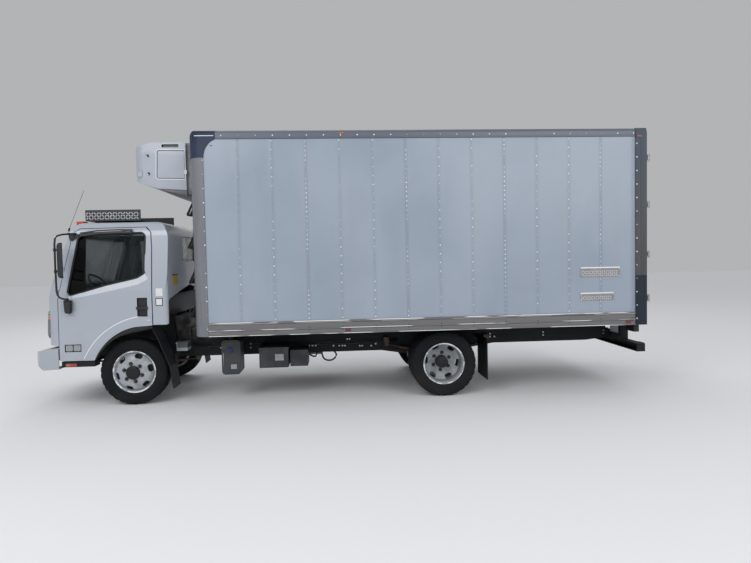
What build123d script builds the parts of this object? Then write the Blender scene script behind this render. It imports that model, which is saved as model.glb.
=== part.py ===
from build123d import *
from math import cos, pi, sin
import os

os.makedirs("parts", exist_ok=True)

# A cab-over truck with an insulated box and a refrigeration unit on the box's front wall.
# Millimetres, +Z up, -Y is the driver's side. X runs rearward from the front axle while
# the pieces are made, and put() moves each one so that X = 0 is half the truck's length.
FRONT_END = -1151.0
REAR_END = 6385.0
MID_X = (FRONT_END + REAR_END) / 2

# Wheels and axles
WHEELBASE = 3810.0
AXLE_Z = 405.5
TYRE_R = 405.5
FRONT_Y = 827.5
DUAL_Y = 825.0
DISC_OUTSET = 127.0
KINGPIN_Y = 765.0

# Frame
RAIL_Y = 425.5
RAIL_FLANGE = 70.0
RAIL_BOTTOM = 500.0
RAIL_TOP = 713.0
WEB = 8.0
PIVOT_Y = 330.0
PIVOT_R = 18.0

# Insulated box
BOX_Y = 1219.0
BOX_FRONT = 805.0
BOX_SEAM = 981.0
POST_FRONT = 6181.0
POST_REAR = 6319.0
POST_Y = 1240.0
BOX_BOTTOM = 849.0
SLAB_TOP = 1000.0
FLOOR_TOP = 1012.0
WALL_TOP = 3161.0
ROOF_TOP = 3264.0
WALL = 75.0
FRONT_WALL = 100.0
CORNER_R = 150.0

# Cab
CAB_WALL = 50.0
TILT_X = -950.0
TILT_Z = 690.0
DOOR_GAP = 8.0
REAR_GAP = 12.0

# Rear doors
DOOR_FACE = 6325.0
DOOR_T = 94.0
PIN_X = 6345.0
PIN_Y = 1225.0
LEAF_EDGE = 1130.0
LEAF_BOTTOM = 1008.0
LEAF_TOP = 3106.0
HEADER_Z = 3114.0


def put(name, *solids):
    """Write one piece, or like pieces that don't touch, in the truck's own frame."""
    parts = [s for shape in solids for s in shape.solids()]
    shape = parts[0] if len(parts) == 1 else Compound(children=parts)
    export_step(Pos(-MID_X, 0, 0) * shape, f"parts/{name}.step")


def span(side, near, far):
    """Two distances out from the middle as rising Y values on one side."""
    return sorted((side * near, side * far))


def block(x0, x1, y0, y1, z0, z1):
    centre = Pos((x0 + x1) / 2, (y0 + y1) / 2, (z0 + z1) / 2)
    return centre * Box(x1 - x0, y1 - y0, z1 - z0)


def loop(points, radius):
    return FilletPolyline(*points, radius=radius, close=True)


def across(points, y0, y1, radius=0.0, inset=0.0):
    """A prism along Y of an outline in X and Z."""
    face = Plane.XZ * offset_face(make_face(loop(points, radius)), inset)
    return Pos(0, y0, 0) * extrude(face, amount=y1 - y0, dir=(0, 1, 0))


def along(points, x0, x1, radius=0.0, inset=0.0):
    """A prism along X of an outline in Y and Z."""
    face = Plane.YZ * offset_face(make_face(loop(points, radius)), inset)
    return Pos(x0, 0, 0) * extrude(face, amount=x1 - x0, dir=(1, 0, 0))


def upward(points, z0, z1, radius=0.0, inset=0.0):
    """A prism along Z of an outline in X and Y."""
    face = offset_face(make_face(loop(points, radius)), inset)
    return Pos(0, 0, z0) * extrude(face, amount=z1 - z0, dir=(0, 0, 1))


def offset_face(face, inset):
    return offset(face, amount=-inset, kind=Kind.INTERSECTION) if inset else face


def rod(start, end, radius):
    """A round bar from one point to another."""
    a = Vector(*start)
    b = Vector(*end)
    from_end = (Align.CENTER, Align.CENTER, Align.MIN)
    return Plane(a, z_dir=b - a) * Cylinder(radius, (b - a).length, align=from_end)


def turned(profile, y=0.0, x=0.0, z=AXLE_Z, side=1):
    """A body turned about an axle. Profile points are (outward, radius)."""
    points = [(side * out, r) for out, r in profile]
    face = Plane.YZ * make_face(Polyline(*points, close=True))
    return Pos(x, side * y, z) * revolve(face, Axis.Y)


def mirrored(shape):
    return mirror(shape, about=Plane.XZ)


# Tyre section on its outward half. Columns: distance outward from the middle, radius
TYRE_HALF = [
    (76, 247),
    (84, 264),
    (108, 300),
    (112, 352),
    (100, 391),
    (82, TYRE_R),
]
TYRE_SIDES = 40

# Wheels: a steel disc wheel whose disc stands outside the rim's middle.
# Columns: distance outward from the tyre's middle, radius
RIM_PROFILE = [
    (88, 264),
    (84, 264),
    (84, 246.5),
    (-84, 246.5),
    (-84, 264),
    (-88, 264),
    (-88, 246),
    (-24, 226),
    (62, 226),
    (88, 248),
]
DISC_PROFILE = [
    (48, 228),
    (115, 150),
    (115, 70),
    (127, 70),
    (127, 152),
    (104, 200),
    (62, 232),
]
HAND_HOLES = 6
HAND_HOLE_R = 200.0
HAND_HOLE_L = 94.0
HAND_HOLE_W = 52.0

# Where the first hand hole stands, in degrees from the top towards the rear
FRONT_HOLE_TURN = 17.0
REAR_HOLE_TURN = 36.0
FRONT_HUB = [(9, 0), (9, 76), (136, 76), (140, 60), (158, 46), (158, 0)]
REAR_HUB = [(-190, 0), (-190, 190), (-120, 190), (-14, 110), (-14, 76), (60, 76), (108, 64), (108, 0)]


def disc_wheel(y, side, hole_turn, outset=1):
    """Rim and disc, with its oval holes. outset is 1 with the disc outward and -1 with it inward."""
    rim = turned([(outset * out, r) for out, r in RIM_PROFILE], y, side=side)
    disc = turned([(outset * out, r) for out, r in DISC_PROFILE], y, side=side)
    slot = Rot(90, 0, 0) * extrude(SlotOverall(HAND_HOLE_L, HAND_HOLE_W), amount=60, both=True)
    for k in range(HAND_HOLES):
        turn = Rot(0, hole_turn + 360 * k / HAND_HOLES, 0)
        disc -= Pos(0, side * (y + outset * 90), AXLE_Z) * turn * Pos(0, 0, HAND_HOLE_R) * slot
    return rim + disc


def front_wheel(side):
    return disc_wheel(FRONT_Y, side, FRONT_HOLE_TURN) + turned(FRONT_HUB, FRONT_Y, side=side)


def rear_wheels(side):
    """Two wheels disc to disc, on a hub with its drum inside and its cap in the outer dish."""
    inner = disc_wheel(DUAL_Y - DISC_OUTSET, side, REAR_HOLE_TURN)
    outer = disc_wheel(DUAL_Y + DISC_OUTSET, side, REAR_HOLE_TURN, outset=-1)
    return inner + outer + turned(REAR_HUB, DUAL_Y, side=side)


def faceted_ring(section, sides):
    """A ring about Y whose section, (along Y, radius), is carried round in flat facets."""
    rings = []
    for out, r in section:
        angles = [2 * pi * (k + 0.5) / sides for k in range(sides)]
        reach = r / cos(pi / sides)
        rings.append([(reach * cos(a), out, reach * sin(a)) for a in angles])
    faces = []
    for n, ring in enumerate(rings):
        after = rings[(n + 1) % len(rings)]
        for k in range(sides):
            j = (k + 1) % sides
            faces.append(Face(Wire.make_polygon([ring[k], ring[j], after[j], after[k]])))
    return Solid(Shell(faces))


def tyre(y, side):
    """One of its facets is flat on the ground."""
    section = TYRE_HALF + [(-out, r) for out, r in reversed(TYRE_HALF)]
    return Pos(0, side * y, AXLE_Z) * faceted_ring(section, TYRE_SIDES)


for name, side in (("left", -1), ("right", 1)):
    put(f"wheel_front_{name}", front_wheel(side))
    put(f"tyre_front_{name}", tyre(FRONT_Y, side))
    at_rear = Pos(WHEELBASE, 0, 0)
    put(f"wheels_rear_{name}", at_rear * rear_wheels(side))
    pair = [at_rear * tyre(DUAL_Y + k * DISC_OUTSET, side) for k in (-1, 1)]
    put(f"tyres_rear_{name}", *pair)


# Front axle: a drop beam with an eye round each kingpin, and knuckles with upper and lower ears
EYE_HALF = 50.0
EAR = 40.0
EAR_GAP = 6.0
KINGPIN_R = 17.0
KNUCKLE_Y = 812.0
ARM_X = 150.0
ARM_Z = 322.0
ROD_Z = 292.0


def front_axle():
    """A drop beam, thinned along its web, with a spring pad and an eye at each side."""
    right = [(560, 330), (640, 375), (735, 385), (735, 430), (620, 428), (540, 400)]
    left = [(-y, z) for y, z in reversed(right)]
    beam = along(right + left, -42, 42)
    web_cut = block(10, 60, -520, 520, 345, 385)
    beam -= web_cut
    beam -= Pos(-70, 0, 0) * web_cut
    for side in (-1, 1):
        eye = Pos(0, side * KINGPIN_Y, AXLE_Z) * Cylinder(36, 2 * EYE_HALF)
        pin = Pos(0, side * KINGPIN_Y, AXLE_Z) * Cylinder(KINGPIN_R, 2 * (EYE_HALF + EAR_GAP + EAR))
        pad = block(-75, 75, side * 395 - 45, side * 395 + 45, 395, 412)
        beam += eye
        beam += pin
        beam += pad
    return beam


def knuckle(side):
    reach = EYE_HALF + EAR_GAP
    body = block(-45, 45, *span(side, KNUCKLE_Y - 6, KNUCKLE_Y + 6), AXLE_Z - reach - EAR, AXLE_Z + reach + EAR)
    for z in (AXLE_Z + reach + EAR / 2, AXLE_Z - reach - EAR / 2):
        ear = Pos(0, side * KINGPIN_Y, z) * Cylinder(38, EAR)
        ear += block(-38, 38, *span(side, KINGPIN_Y, KNUCKLE_Y), z - EAR / 2, z + EAR / 2)
        body += ear
    body += Pos(0, side * (KNUCKLE_Y + 12), AXLE_Z) * Rot(90, 0, 0) * Cylinder(150, 12)
    body -= Pos(0, side * KINGPIN_Y, AXLE_Z) * Cylinder(KINGPIN_R + 1, 300)
    y = side * KINGPIN_Y
    plan = [(-20, y - 22), (30, y - 22), (ARM_X + 16, y - 16), (ARM_X + 16, y + 16), (-20, y + 22)]
    arm = upward(plan, ARM_Z - 9, ARM_Z + 9)
    arm -= Pos(0, y, ARM_Z) * Cylinder(KINGPIN_R + 1, 60)
    body += arm
    return body + rod((ARM_X, y, ARM_Z), (ARM_X, y, ROD_Z - 20), 8)


def tie_rod():
    """Parallel to the axle and pinned under both arms, so it keeps square as they turn."""
    bar = rod((ARM_X, -KINGPIN_Y + 10, ROD_Z), (ARM_X, KINGPIN_Y - 10, ROD_Z), 12)
    for side in (-1, 1):
        bar += Pos(ARM_X, side * KINGPIN_Y, ROD_Z) * Cylinder(22, 30)
        bar -= Pos(ARM_X, side * KINGPIN_Y, ROD_Z) * Cylinder(9, 60)
    return bar


put("front_axle", front_axle())
put("knuckle_left", knuckle(-1))
put("knuckle_right", knuckle(1))
put("tie_rod", tie_rod())


# Rear axle: the round housing, tapering to the tubes and the brake plates. Columns: out, radius
HOUSING_HALF = [
    (0, 0),
    (0, 190),
    (70, 190),
    (140, 130),
    (240, 74),
    (430, 62),
    (600, 62),
    (600, 185),
    (614, 185),
    (614, 60),
    (625, 60),
    (625, 0),
]
housing = turned(HOUSING_HALF, 0, x=WHEELBASE) + turned(HOUSING_HALF, 0, x=WHEELBASE, side=-1)
pinion_nose = rod((WHEELBASE - 330, 0, AXLE_Z + 10), (WHEELBASE, 0, AXLE_Z), 88)
put("rear_axle", housing + pinion_nose)


# Leaf springs. Columns: axle X, middle |Y|, eye Z, middle Z, half length
SPRINGS = [
    (0.0, 395.0, 433.0, 412.0, 640.0),
    (WHEELBASE, 492.0, 556.0, 472.0, 660.0),
]
LEAF_HALF_W = 35.0


def leaf_spring(x, y, eye_z, low_z, half):
    """Three leaves of falling length, bowed down to the axle, with rolled eyes."""
    pack = None
    for k, share in enumerate((1.0, 0.78, 0.55)):
        drop = (eye_z - low_z) * share * share
        base = low_z + 28 - 14 * k
        reach = half * share
        top = ThreePointArc((x - reach, base + 14 + drop), (x, base + 14), (x + reach, base + 14 + drop))
        low = ThreePointArc((x + reach, base + drop), (x, base), (x - reach, base + drop))
        ends = [Line(top @ 1, low @ 0), Line(low @ 1, top @ 0)]
        face = Plane.XZ * make_face([top, ends[0], low, ends[1]])
        leaf = Pos(0, y - LEAF_HALF_W, 0) * extrude(face, amount=2 * LEAF_HALF_W, dir=(0, 1, 0))
        pack = leaf if pack is None else pack + leaf
    for end in (-1, 1):
        eye_at = (x + end * (half + 14), y, eye_z + 35)
        pack += Pos(*eye_at) * Rot(90, 0, 0) * Cylinder(26, 2 * LEAF_HALF_W)
        pack += hanger(eye_at)
    return pack


def hanger(eye_at):
    """Joins the eye to the rail: below its flange in front, outside its web behind."""
    x, y, z = eye_at
    if y + LEAF_HALF_W > RAIL_Y + 10:
        return block(x - 35, x + 35, RAIL_Y, y + LEAF_HALF_W, z + 20, z + 95)
    return block(x - 30, x + 30, RAIL_Y - RAIL_FLANGE, RAIL_Y, z + 10, RAIL_BOTTOM)


springs = []
for x, y, eye_z, low_z, half in SPRINGS:
    spring = leaf_spring(x, y, eye_z, low_z, half)
    springs += [spring, mirrored(spring)]
put("leaf_springs", *springs)


# Frame rails: channels open inward, tapered up at the rear end
def frame_rail():
    side_view = [
        (-1000, RAIL_BOTTOM),
        (4250, RAIL_BOTTOM),
        (4600, RAIL_BOTTOM + 55),
        (5900, RAIL_BOTTOM + 55),
        (6230, RAIL_BOTTOM + 90),
        (6230, RAIL_TOP),
        (-1000, RAIL_TOP),
    ]
    rail = across(side_view, -RAIL_Y, -RAIL_Y + RAIL_FLANGE)
    hollow = across(side_view, -RAIL_Y + WEB, -RAIL_Y + RAIL_FLANGE + 5, inset=WEB)
    rail -= hollow
    rail -= Pos(-60, 0, 0) * hollow
    tilt_pin = Pos(TILT_X, 0, TILT_Z) * rod((0, -RAIL_Y + 4, 0), (0, -PIVOT_Y + 32, 0), PIVOT_R)
    return rail + tilt_pin


rail_left = frame_rail()
put("frame_rails", rail_left, mirrored(rail_left))


# Crossmembers between the webs. Columns: X, bottom Z, top Z
CROSSMEMBERS = [
    (-800.0, 545.0, 660.0),
    (1340.0, 685.0, 705.0),
    (1900.0, 668.0, 705.0),
    (2900.0, 600.0, 700.0),
    (4560.0, 580.0, 690.0),
    (5300.0, 580.0, 690.0),
    (6150.0, 600.0, 690.0),
]


def crossmember(x, low, high):
    inside = RAIL_Y - WEB
    channel = block(x - 30, x + 30, -inside, inside, low, high)
    return channel - block(x - 22, x + 40, -inside + 8, inside - 8, low + 8, high - 8)


# Posts on the rails that the cab's floor rests over when it is down
def cab_rest(side):
    y0, y1 = span(side, RAIL_Y - RAIL_FLANGE, RAIL_Y)
    post = across([(240, RAIL_TOP), (380, RAIL_TOP), (345, 1020), (275, 1020)], y0, y1)
    return post + block(265, 355, y0 - 5, y1 + 5, 1020, 1043)


put("crossmembers", *[crossmember(*row) for row in CROSSMEMBERS], cab_rest(-1), cab_rest(1))


# Engine, one plain block, and the line to the rear axle
engine = block(-330, 520, -240, 240, 500, 1020)
gearbox = block(520, 1230, -180, 180, 500, 835)
put("engine_block", engine + gearbox)


def drive_shaft():
    joints = [(1238, 640), (2330, 600), (3472, AXLE_Z + 12)]
    shaft = rod((joints[0][0], 0, joints[0][1]), (joints[1][0], 0, joints[1][1]), 45)
    shaft += rod((joints[1][0], 0, joints[1][1]), (joints[2][0], 0, joints[2][1]), 45)
    shaft += Pos(joints[1][0], 0, joints[1][1]) * Rot(0, 90, 0) * Cylinder(75, 60)
    return shaft


put("drive_shaft", drive_shaft())


# Tanks and boxes hung outside the rails
def side_tanks():
    fluid_tank = across([(1054, 330), (1287, 330), (1287, 758), (1054, 758)], -900, -640, radius=45)
    fluid_tank += Pos(1150, -770, 758) * Cylinder(42, 60)
    bracket = block(1080, 1260, -645, -RAIL_Y, 560, 600)
    fuel_tank = across([(1500, 360), (2500, 360), (2500, 780), (1500, 780)], 470, 900, radius=60)
    for x in (1700, 2260):
        fuel_tank += block(x, x + 60, RAIL_Y, 475, 520, 560)
        fuel_tank += block(x, x + 40, 464, 906, 354, 786)
    return fluid_tank + bracket, fuel_tank


def battery_box():
    case = block(1511, 1870, -880, -RAIL_Y - 40, 395, 620)
    lid = block(1505, 1876, -886, -RAIL_Y - 34, 620, 650)
    second = block(1890, 2110, -820, -RAIL_Y - 40, 395, 600)
    link = block(1870, 1895, -700, -560, 440, 560)
    for x in (1530, 1820):
        case += block(x, x + 30, -RAIL_Y - 40, -RAIL_Y, 520, 560)
    return case + lid + second + link


def relay_box():
    """A small lidded box on the rail's web, behind the left front wheel."""
    case = block(430, 566, -610, -RAIL_Y, 600, 690)
    return case + block(424, 572, -616, -RAIL_Y - 20, 690, 712)


def exhaust():
    can = rod((1500, 200, 470), (2250, 200, 470), 100)
    pipe = rod((1245, 230, 540), (1505, 200, 470), 38)
    tail = rod((2245, 200, 470), (2960, 330, 440), 38)
    return can + pipe + tail


tank_left, tank_right = side_tanks()
put("side_tanks", tank_left, tank_right)
put("battery_box", battery_box(), relay_box())
put("exhaust", exhaust())


# Front bumper: a pressed shell with rounded corners and wings back to the doors
BUMPER_SIDE = [(-836, 485), (-836, 732), (-1000, 715), (-1135, 691), (-1151, 649), (-1112, 530), (-1026, 478)]
INTAKE = [(-330, 525), (330, 525), (330, 600), (-330, 600)]
FOG_LAMP_Y = 620.0
BUMPER_PLAN = [(FRONT_END, -1030), (-836, -1030), (-836, 1030), (FRONT_END, 1030)]


def bumper_form(inset):
    side_view = across(BUMPER_SIDE, -1100, 1100, radius=[0, 0, 0, 12, 20, 30, 0], inset=inset)
    plan_view = upward(BUMPER_PLAN, 400, 800, radius=[190, 0, 0, 190], inset=inset)
    return side_view & plan_view


def front_bumper():
    """The shell with its middle intake, fog lamp holes and two stays to the frame."""
    shell = bumper_form(0)
    core = bumper_form(14)
    shell -= core
    shell -= Pos(40, 0, 0) * core
    shell -= block(-1012, -800, -900, 900, 600, 760)
    shell -= block(-1080, -900, -960, 960, 460, 520)
    shell -= along(INTAKE, -1200, -1070, radius=25)
    for side in (-1, 1):
        shell += block(-1125, -1000, side * 390 - 30, side * 390 + 30, 560, 660)
        shell -= Pos(-1130, side * FOG_LAMP_Y, 610) * Rot(0, 90, 0) * Cylinder(55, 60)
    return shell


put("front_bumper", front_bumper())


# Steps under the doors, on arms from the rails
def cab_step():
    tread = across([(-800, 509), (-417, 509), (-417, 560), (-430, 575), (-800, 575)], -1030, -880)
    tread -= block(-780, -437, -1010, -900, 530, 580)
    tread += block(-785, -430, -1012, -898, 540, 548)
    arms = block(-770, -735, -885, -RAIL_Y, 530, 560) + block(-520, -485, -885, -RAIL_Y, 530, 560)
    return tread + arms


step_left = cab_step()
put("cab_steps", step_left, mirrored(step_left))


# Guards behind the front wheels and flaps behind the rear ones
def front_guard():
    outer = [(246, 950), (320, 800), (447, 470), (484, 199), (492, 199), (457, 474), (330, 808), (258, 956)]
    guard = across(outer, -1000, -700)
    return guard + block(452, 480, -720, -RAIL_Y, 560, 590) + block(446, 470, -760, -700, 470, 590)


def rear_flap():
    flap = block(4349, 4359, -1065, -585, 190, 700)
    return flap + block(4355, 4385, -1000, -RAIL_Y, 650, 690)


guard_left = front_guard()
flap_left = rear_flap()
put("mud_flaps", guard_left, mirrored(guard_left), flap_left, mirrored(flap_left))


# Insulated box: floor on cross sills, walls, roof, rails and corner pieces
CROSS_SILL_Z = 925.0
SILL_PITCH = 330.0


def box_floor():
    slab = block(BOX_SEAM, POST_FRONT, -BOX_Y + 4, BOX_Y - 4, CROSS_SILL_Z, SLAB_TOP)
    half = BOX_Y - WALL
    front = BOX_FRONT + FRONT_WALL
    slab += block(front, BOX_SEAM, -half, half, CROSS_SILL_Z, SLAB_TOP)
    slab += block(front + 1, POST_FRONT - 1, -half + 1, half - 1, SLAB_TOP, FLOOR_TOP)
    count = int((POST_FRONT - BOX_SEAM) // SILL_PITCH)
    for k in range(count + 1):
        x = BOX_SEAM + 30 + k * SILL_PITCH
        slab += block(x, x + 50, -BOX_Y + 4, BOX_Y - 4, BOX_BOTTOM + 6, CROSS_SILL_Z)
    return slab


def long_sill(side):
    y = side * 390
    return block(BOX_FRONT + FRONT_WALL, POST_FRONT, y - 40, y + 40, RAIL_TOP, BOX_BOTTOM + 6)


put("box_floor", box_floor())
put("box_sills", long_sill(-1), long_sill(1))


def side_wall(side):
    y = side * (BOX_Y - WALL / 2)
    return block(BOX_SEAM, POST_FRONT, y - WALL / 2, y + WALL / 2, SLAB_TOP, WALL_TOP)


CORNER_Y = BOX_Y - CORNER_R - 23
front_wall = block(BOX_FRONT, BOX_FRONT + FRONT_WALL, -CORNER_Y, CORNER_Y, BOX_BOTTOM, WALL_TOP)
put("box_wall_left", side_wall(-1))
put("box_wall_right", side_wall(1))
put("box_wall_front", front_wall)

# Rail sections with their bright ribs, seen from behind. Columns: outward from the skin, Z
BOTTOM_RAIL = [
    (-4, BOX_BOTTOM),
    (10, BOX_BOTTOM),
    (10, 865),
    (5, 869),
    (5, 905),
    (10, 909),
    (10, 921),
    (5, 925),
    (5, 985),
    (10, 989),
    (10, FLOOR_TOP),
    (0, FLOOR_TOP),
    (0, SLAB_TOP),
    (-4, SLAB_TOP),
]
TOP_RAIL = [
    (-WALL, WALL_TOP),
    (8, WALL_TOP),
    (8, 3176),
    (3, 3180),
    (3, 3228),
    (-6, 3250),
    (-30, ROOF_TOP),
    (-WALL, ROOF_TOP),
]
CAP_REAR = 1123.0


def side_rail(section, side, front):
    return along([(side * (BOX_Y + out), z) for out, z in section], front, POST_FRONT)


def rail_end(side):
    """The top rail's plain front end, which the corner cap covers."""
    y0, y1 = span(side, BOX_Y - WALL, BOX_Y)
    return block(BOX_SEAM, CAP_REAR, y0, y1, WALL_TOP, ROOF_TOP) & front_form()


def front_form(proud=0.0):
    """The box's front end, rounded in plan and along its upper edges."""
    front = BOX_FRONT - proud
    half = BOX_Y + proud
    top = ROOF_TOP + proud
    plan = [(front, -half), (CAP_REAR, -half), (CAP_REAR, half), (front, half)]
    side_view = [(front, 2500), (front, top), (CAP_REAR, top), (CAP_REAR, 2500)]
    front_view = [(-half, 2500), (-half, top), (half, top), (half, 2500)]
    form = upward(plan, 2500, 3300, radius=[CORNER_R + proud, 0, 0, CORNER_R + proud])
    form &= across(side_view, -1300, 1300, radius=[0, 100 + proud, 0, 0])
    return form & along(front_view, 700, 1200, radius=[0, 60 + proud, 60 + proud, 0])


rails = []
for side in (-1, 1):
    rails.append(side_rail(BOTTOM_RAIL, side, BOX_SEAM))
    rails.append(side_rail(TOP_RAIL, side, CAP_REAR) + rail_end(side))
put("box_rails", *rails)


def corner(side):
    """Front corner post, rounded in plan."""
    plan = [
        (BOX_FRONT, side * CORNER_Y),
        (BOX_FRONT, side * BOX_Y),
        (BOX_SEAM, side * BOX_Y),
        (BOX_SEAM, side * (BOX_Y - WALL)),
        (BOX_FRONT + FRONT_WALL, side * (BOX_Y - WALL)),
        (BOX_FRONT + FRONT_WALL, side * CORNER_Y),
    ]
    return upward(plan, BOX_BOTTOM, WALL_TOP, radius=[0, CORNER_R, 0, 0, 0, 0])


# The cast caps over the upper front corners: they stand proud and end behind in an inward arc
CAP_LOW = 2952.0
CAP_PROUD = 6.0


def corner_cap():
    ends = [(700, CAP_LOW), (700, 3300), (CAP_REAR, 3300), (CAP_REAR, WALL_TOP)]
    lines = [Line(a, b) for a, b in zip(ends, ends[1:])]
    arc = ThreePointArc((CAP_REAR, WALL_TOP), (1024, 3082), (BOX_SEAM + 4, CAP_LOW))
    face = Plane.XZ * make_face([*lines, arc, Line((BOX_SEAM + 4, CAP_LOW), (700, CAP_LOW))])
    outline = Pos(0, CORNER_Y - 4, 0) * extrude(face, amount=400, dir=(0, 1, 0))
    return (front_form(CAP_PROUD) - front_form()) & outline


cap_right = corner_cap()
roof_strip = front_form() & block(BOX_FRONT, BOX_SEAM, -BOX_Y, BOX_Y, WALL_TOP, ROOF_TOP)
put("box_corners", corner(-1), corner(1))
put("corner_caps", mirrored(cap_right), cap_right)
roof = block(BOX_SEAM, POST_FRONT, -BOX_Y + WALL, BOX_Y - WALL, WALL_TOP, ROOF_TOP)
put("box_roof", roof + roof_strip)


# Folding steps up the front wall's left corner
FOLD_STEP_Z = [1151.0, 1562.0, 1980.0, 2378.0]


def fold_step(z):
    """A backing plate with a tread that folds down on two side arms."""
    plate = block(BOX_FRONT - 10, BOX_FRONT, -1062, -898, z - 100, z + 100)
    plate -= block(BOX_FRONT - 20, BOX_FRONT + 10, -1020, -940, z - 50, z + 60)
    back = BOX_FRONT - 8
    front = BOX_FRONT - 78
    arm = [(back, z + 78), (front, z - 62), (front, z - 86), (front + 24, z - 86), (back, z + 30)]
    step = across(arm, -1054, -1044) + across(arm, -916, -906)
    return plate + step + block(front, front + 34, -1054, -906, z - 86, z - 74)


put("wall_steps", *[fold_step(z) for z in FOLD_STEP_Z])


# Rear frame: posts, header and sill, with the hinge lugs of the doors
HINGE_Z = [1180.0, 1720.0, 2330.0, 2900.0]
LUG_T = 16.0
POST_INNER = LEAF_EDGE + 8
POST_TOP = 3195.0


def rear_post(side):
    post = block(POST_FRONT, POST_REAR, *span(side, POST_INNER, POST_Y), BOX_BOTTOM, POST_TOP)
    for z in HINGE_Z:
        for low in (z - 36 - LUG_T / 2, z + 36 - LUG_T / 2):
            post += block(POST_REAR - 2, PIN_X, *span(side, 1211, POST_Y), low, low + LUG_T)
            post += Pos(PIN_X, side * PIN_Y, low + LUG_T / 2) * Cylinder(15, LUG_T)
        post += Pos(PIN_X, side * PIN_Y, z) * Cylinder(8, 72)
    return post


put("rear_posts", rear_post(-1), rear_post(1))
header_right = [
    (POST_INNER, HEADER_Z),
    (POST_INNER, POST_TOP),
    (POST_Y, POST_TOP),
    (POST_Y, POST_TOP + 10),
    (BOX_Y, ROOF_TOP),
]
header_left = [(-y, z) for y, z in reversed(header_right)]
header = along(header_right + header_left, POST_FRONT, POST_REAR)
sill = block(POST_FRONT, POST_REAR, -POST_INNER, POST_INNER, BOX_BOTTOM, SLAB_TOP)
put("rear_header_sill", header, sill)


LOCK_ROD_Y = 330.0


def rear_door(side):
    """A leaf with hinge straps, a lock rod with its cams, and the handle."""
    leaf = block(DOOR_FACE - DOOR_T, DOOR_FACE, *span(side, 7, LEAF_EDGE), LEAF_BOTTOM, LEAF_TOP)
    for z in HINGE_Z:
        strap = block(DOOR_FACE, DOOR_FACE + 10, *span(side, 900, PIN_Y), z - 25, z + 25)
        strap += Pos(PIN_X, side * PIN_Y, z) * Cylinder(15, 50)
        strap -= Pos(PIN_X, side * PIN_Y, z) * Cylinder(9, 60)
        leaf += strap
    y = side * LOCK_ROD_Y
    bar = rod((DOOR_FACE + 20, y, LEAF_BOTTOM - 30), (DOOR_FACE + 20, y, LEAF_TOP + 30), 14)
    for z in (1150, 1750, 2350, 2950):
        bar += block(DOOR_FACE, DOOR_FACE + 34, y - 30, y + 30, z - 20, z + 20)
    bar += block(DOOR_FACE + 10, DOOR_FACE + 30, *span(side, LOCK_ROD_Y, LOCK_ROD_Y + 330), 1420, 1450)
    keeper_y = side * (LOCK_ROD_Y + 280)
    bar += block(DOOR_FACE, DOOR_FACE + 30, keeper_y - 20, keeper_y + 20, 1415, 1455)
    return leaf + bar


put("rear_door_left", rear_door(-1))
put("rear_door_right", rear_door(1))


# Step bumper under the rear frame, with rubber buffers and the tail lamps in its ends
def rear_bumper():
    beam = block(6240, 6345, -1150, 1150, 500, 600)
    beam -= block(6230, 6335, -1140, 1140, 510, 590)
    for side in (-1, 1):
        beam += block(6240, 6345, side * 700 - 30, side * 700 + 30, 590, BOX_BOTTOM)
        beam += block(6231, 6250, *span(side, RAIL_Y - 60, RAIL_Y), 590, 700)
        beam += block(6240, 6260, *span(side, 395, 700), 600, 660)
        beam += block(6344, REAR_END, side * 1000 - 60, side * 1000 + 60, 505, 595)
    return beam


put("rear_bumper", rear_bumper())


def rear_lamp(side):
    y = side * 930
    return block(6260, 6325, y - 110, y + 110, 735, BOX_BOTTOM)


put("rear_lamps", rear_lamp(-1), rear_lamp(1))


# Refrigeration unit: housing with a louvred front, on a dark lower frame
UNIT_FRONT = 91.0
UNIT_BACK = 711.0
UNIT_Y = 950.0
UNIT_SIDE = [
    (UNIT_FRONT, 2732),
    (UNIT_FRONT + 2, 3100),
    (118, 3136),
    (309, 3184),
    (UNIT_BACK, 3182),
    (UNIT_BACK, 2610),
    (360, 2632),
]
UNIT_SIDE_R = [25, 30, 40, 60, 0, 0, 60]
LOUVRES = 7
LOUVRE_LOW = 2770.0
LOUVRE_HIGH = 3060.0


def unit_form(proud=0.0):
    section = across(UNIT_SIDE, -UNIT_Y - proud, UNIT_Y + proud, radius=UNIT_SIDE_R, inset=-proud)
    half = UNIT_Y + proud
    plan = [(UNIT_FRONT - proud, -half), (UNIT_BACK, -half), (UNIT_BACK, half), (UNIT_FRONT - proud, half)]
    return section & upward(plan, 2500, 3300, radius=[130 + proud, 0, 0, 130 + proud])


def unit_housing():
    """The moulded hood with its louvred front, a raised service door and a vent slot each side."""
    body = unit_form()
    service_door = [(362, 2752), (376, 3090), (700, 3084), (700, 2745)]
    seam = across(service_door, -1000, 1000, radius=[24, 24, 8, 8])
    seam -= across(service_door, -1000, 1000, radius=[20, 20, 6, 6], inset=7)
    body -= seam - block(0, 800, -UNIT_Y + 9, UNIT_Y - 9, 2500, 3300)
    vent = [(430, 3122), (430, 3160), (632, 3160), (632, 3122)]
    for side in (-1, 1):
        body -= across(vent, *span(side, UNIT_Y - 30, UNIT_Y + 10), radius=14)
    body -= block(UNIT_FRONT - 20, UNIT_FRONT + 45, -620, 620, LOUVRE_LOW, LOUVRE_HIGH)
    pitch = (LOUVRE_HIGH - LOUVRE_LOW) / LOUVRES
    front = UNIT_FRONT + 6
    for k in range(LOUVRES):
        z = LOUVRE_LOW + (k + 0.5) * pitch
        blade = [(front, z - 14), (front + 6, z - 17), (front + 40, z + 12), (front + 40, z + 20)]
        body += across(blade, -621, 621)
    return body


UNIT_FOOT = 2503.0
PAN_SIDE = [
    (UNIT_FRONT + 60, 2725),
    (360, 2631),
    (UNIT_BACK, 2609),
    (UNIT_BACK, UNIT_FOOT),
    (430, UNIT_FOOT),
    (UNIT_FRONT + 60, 2660),
]


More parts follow.
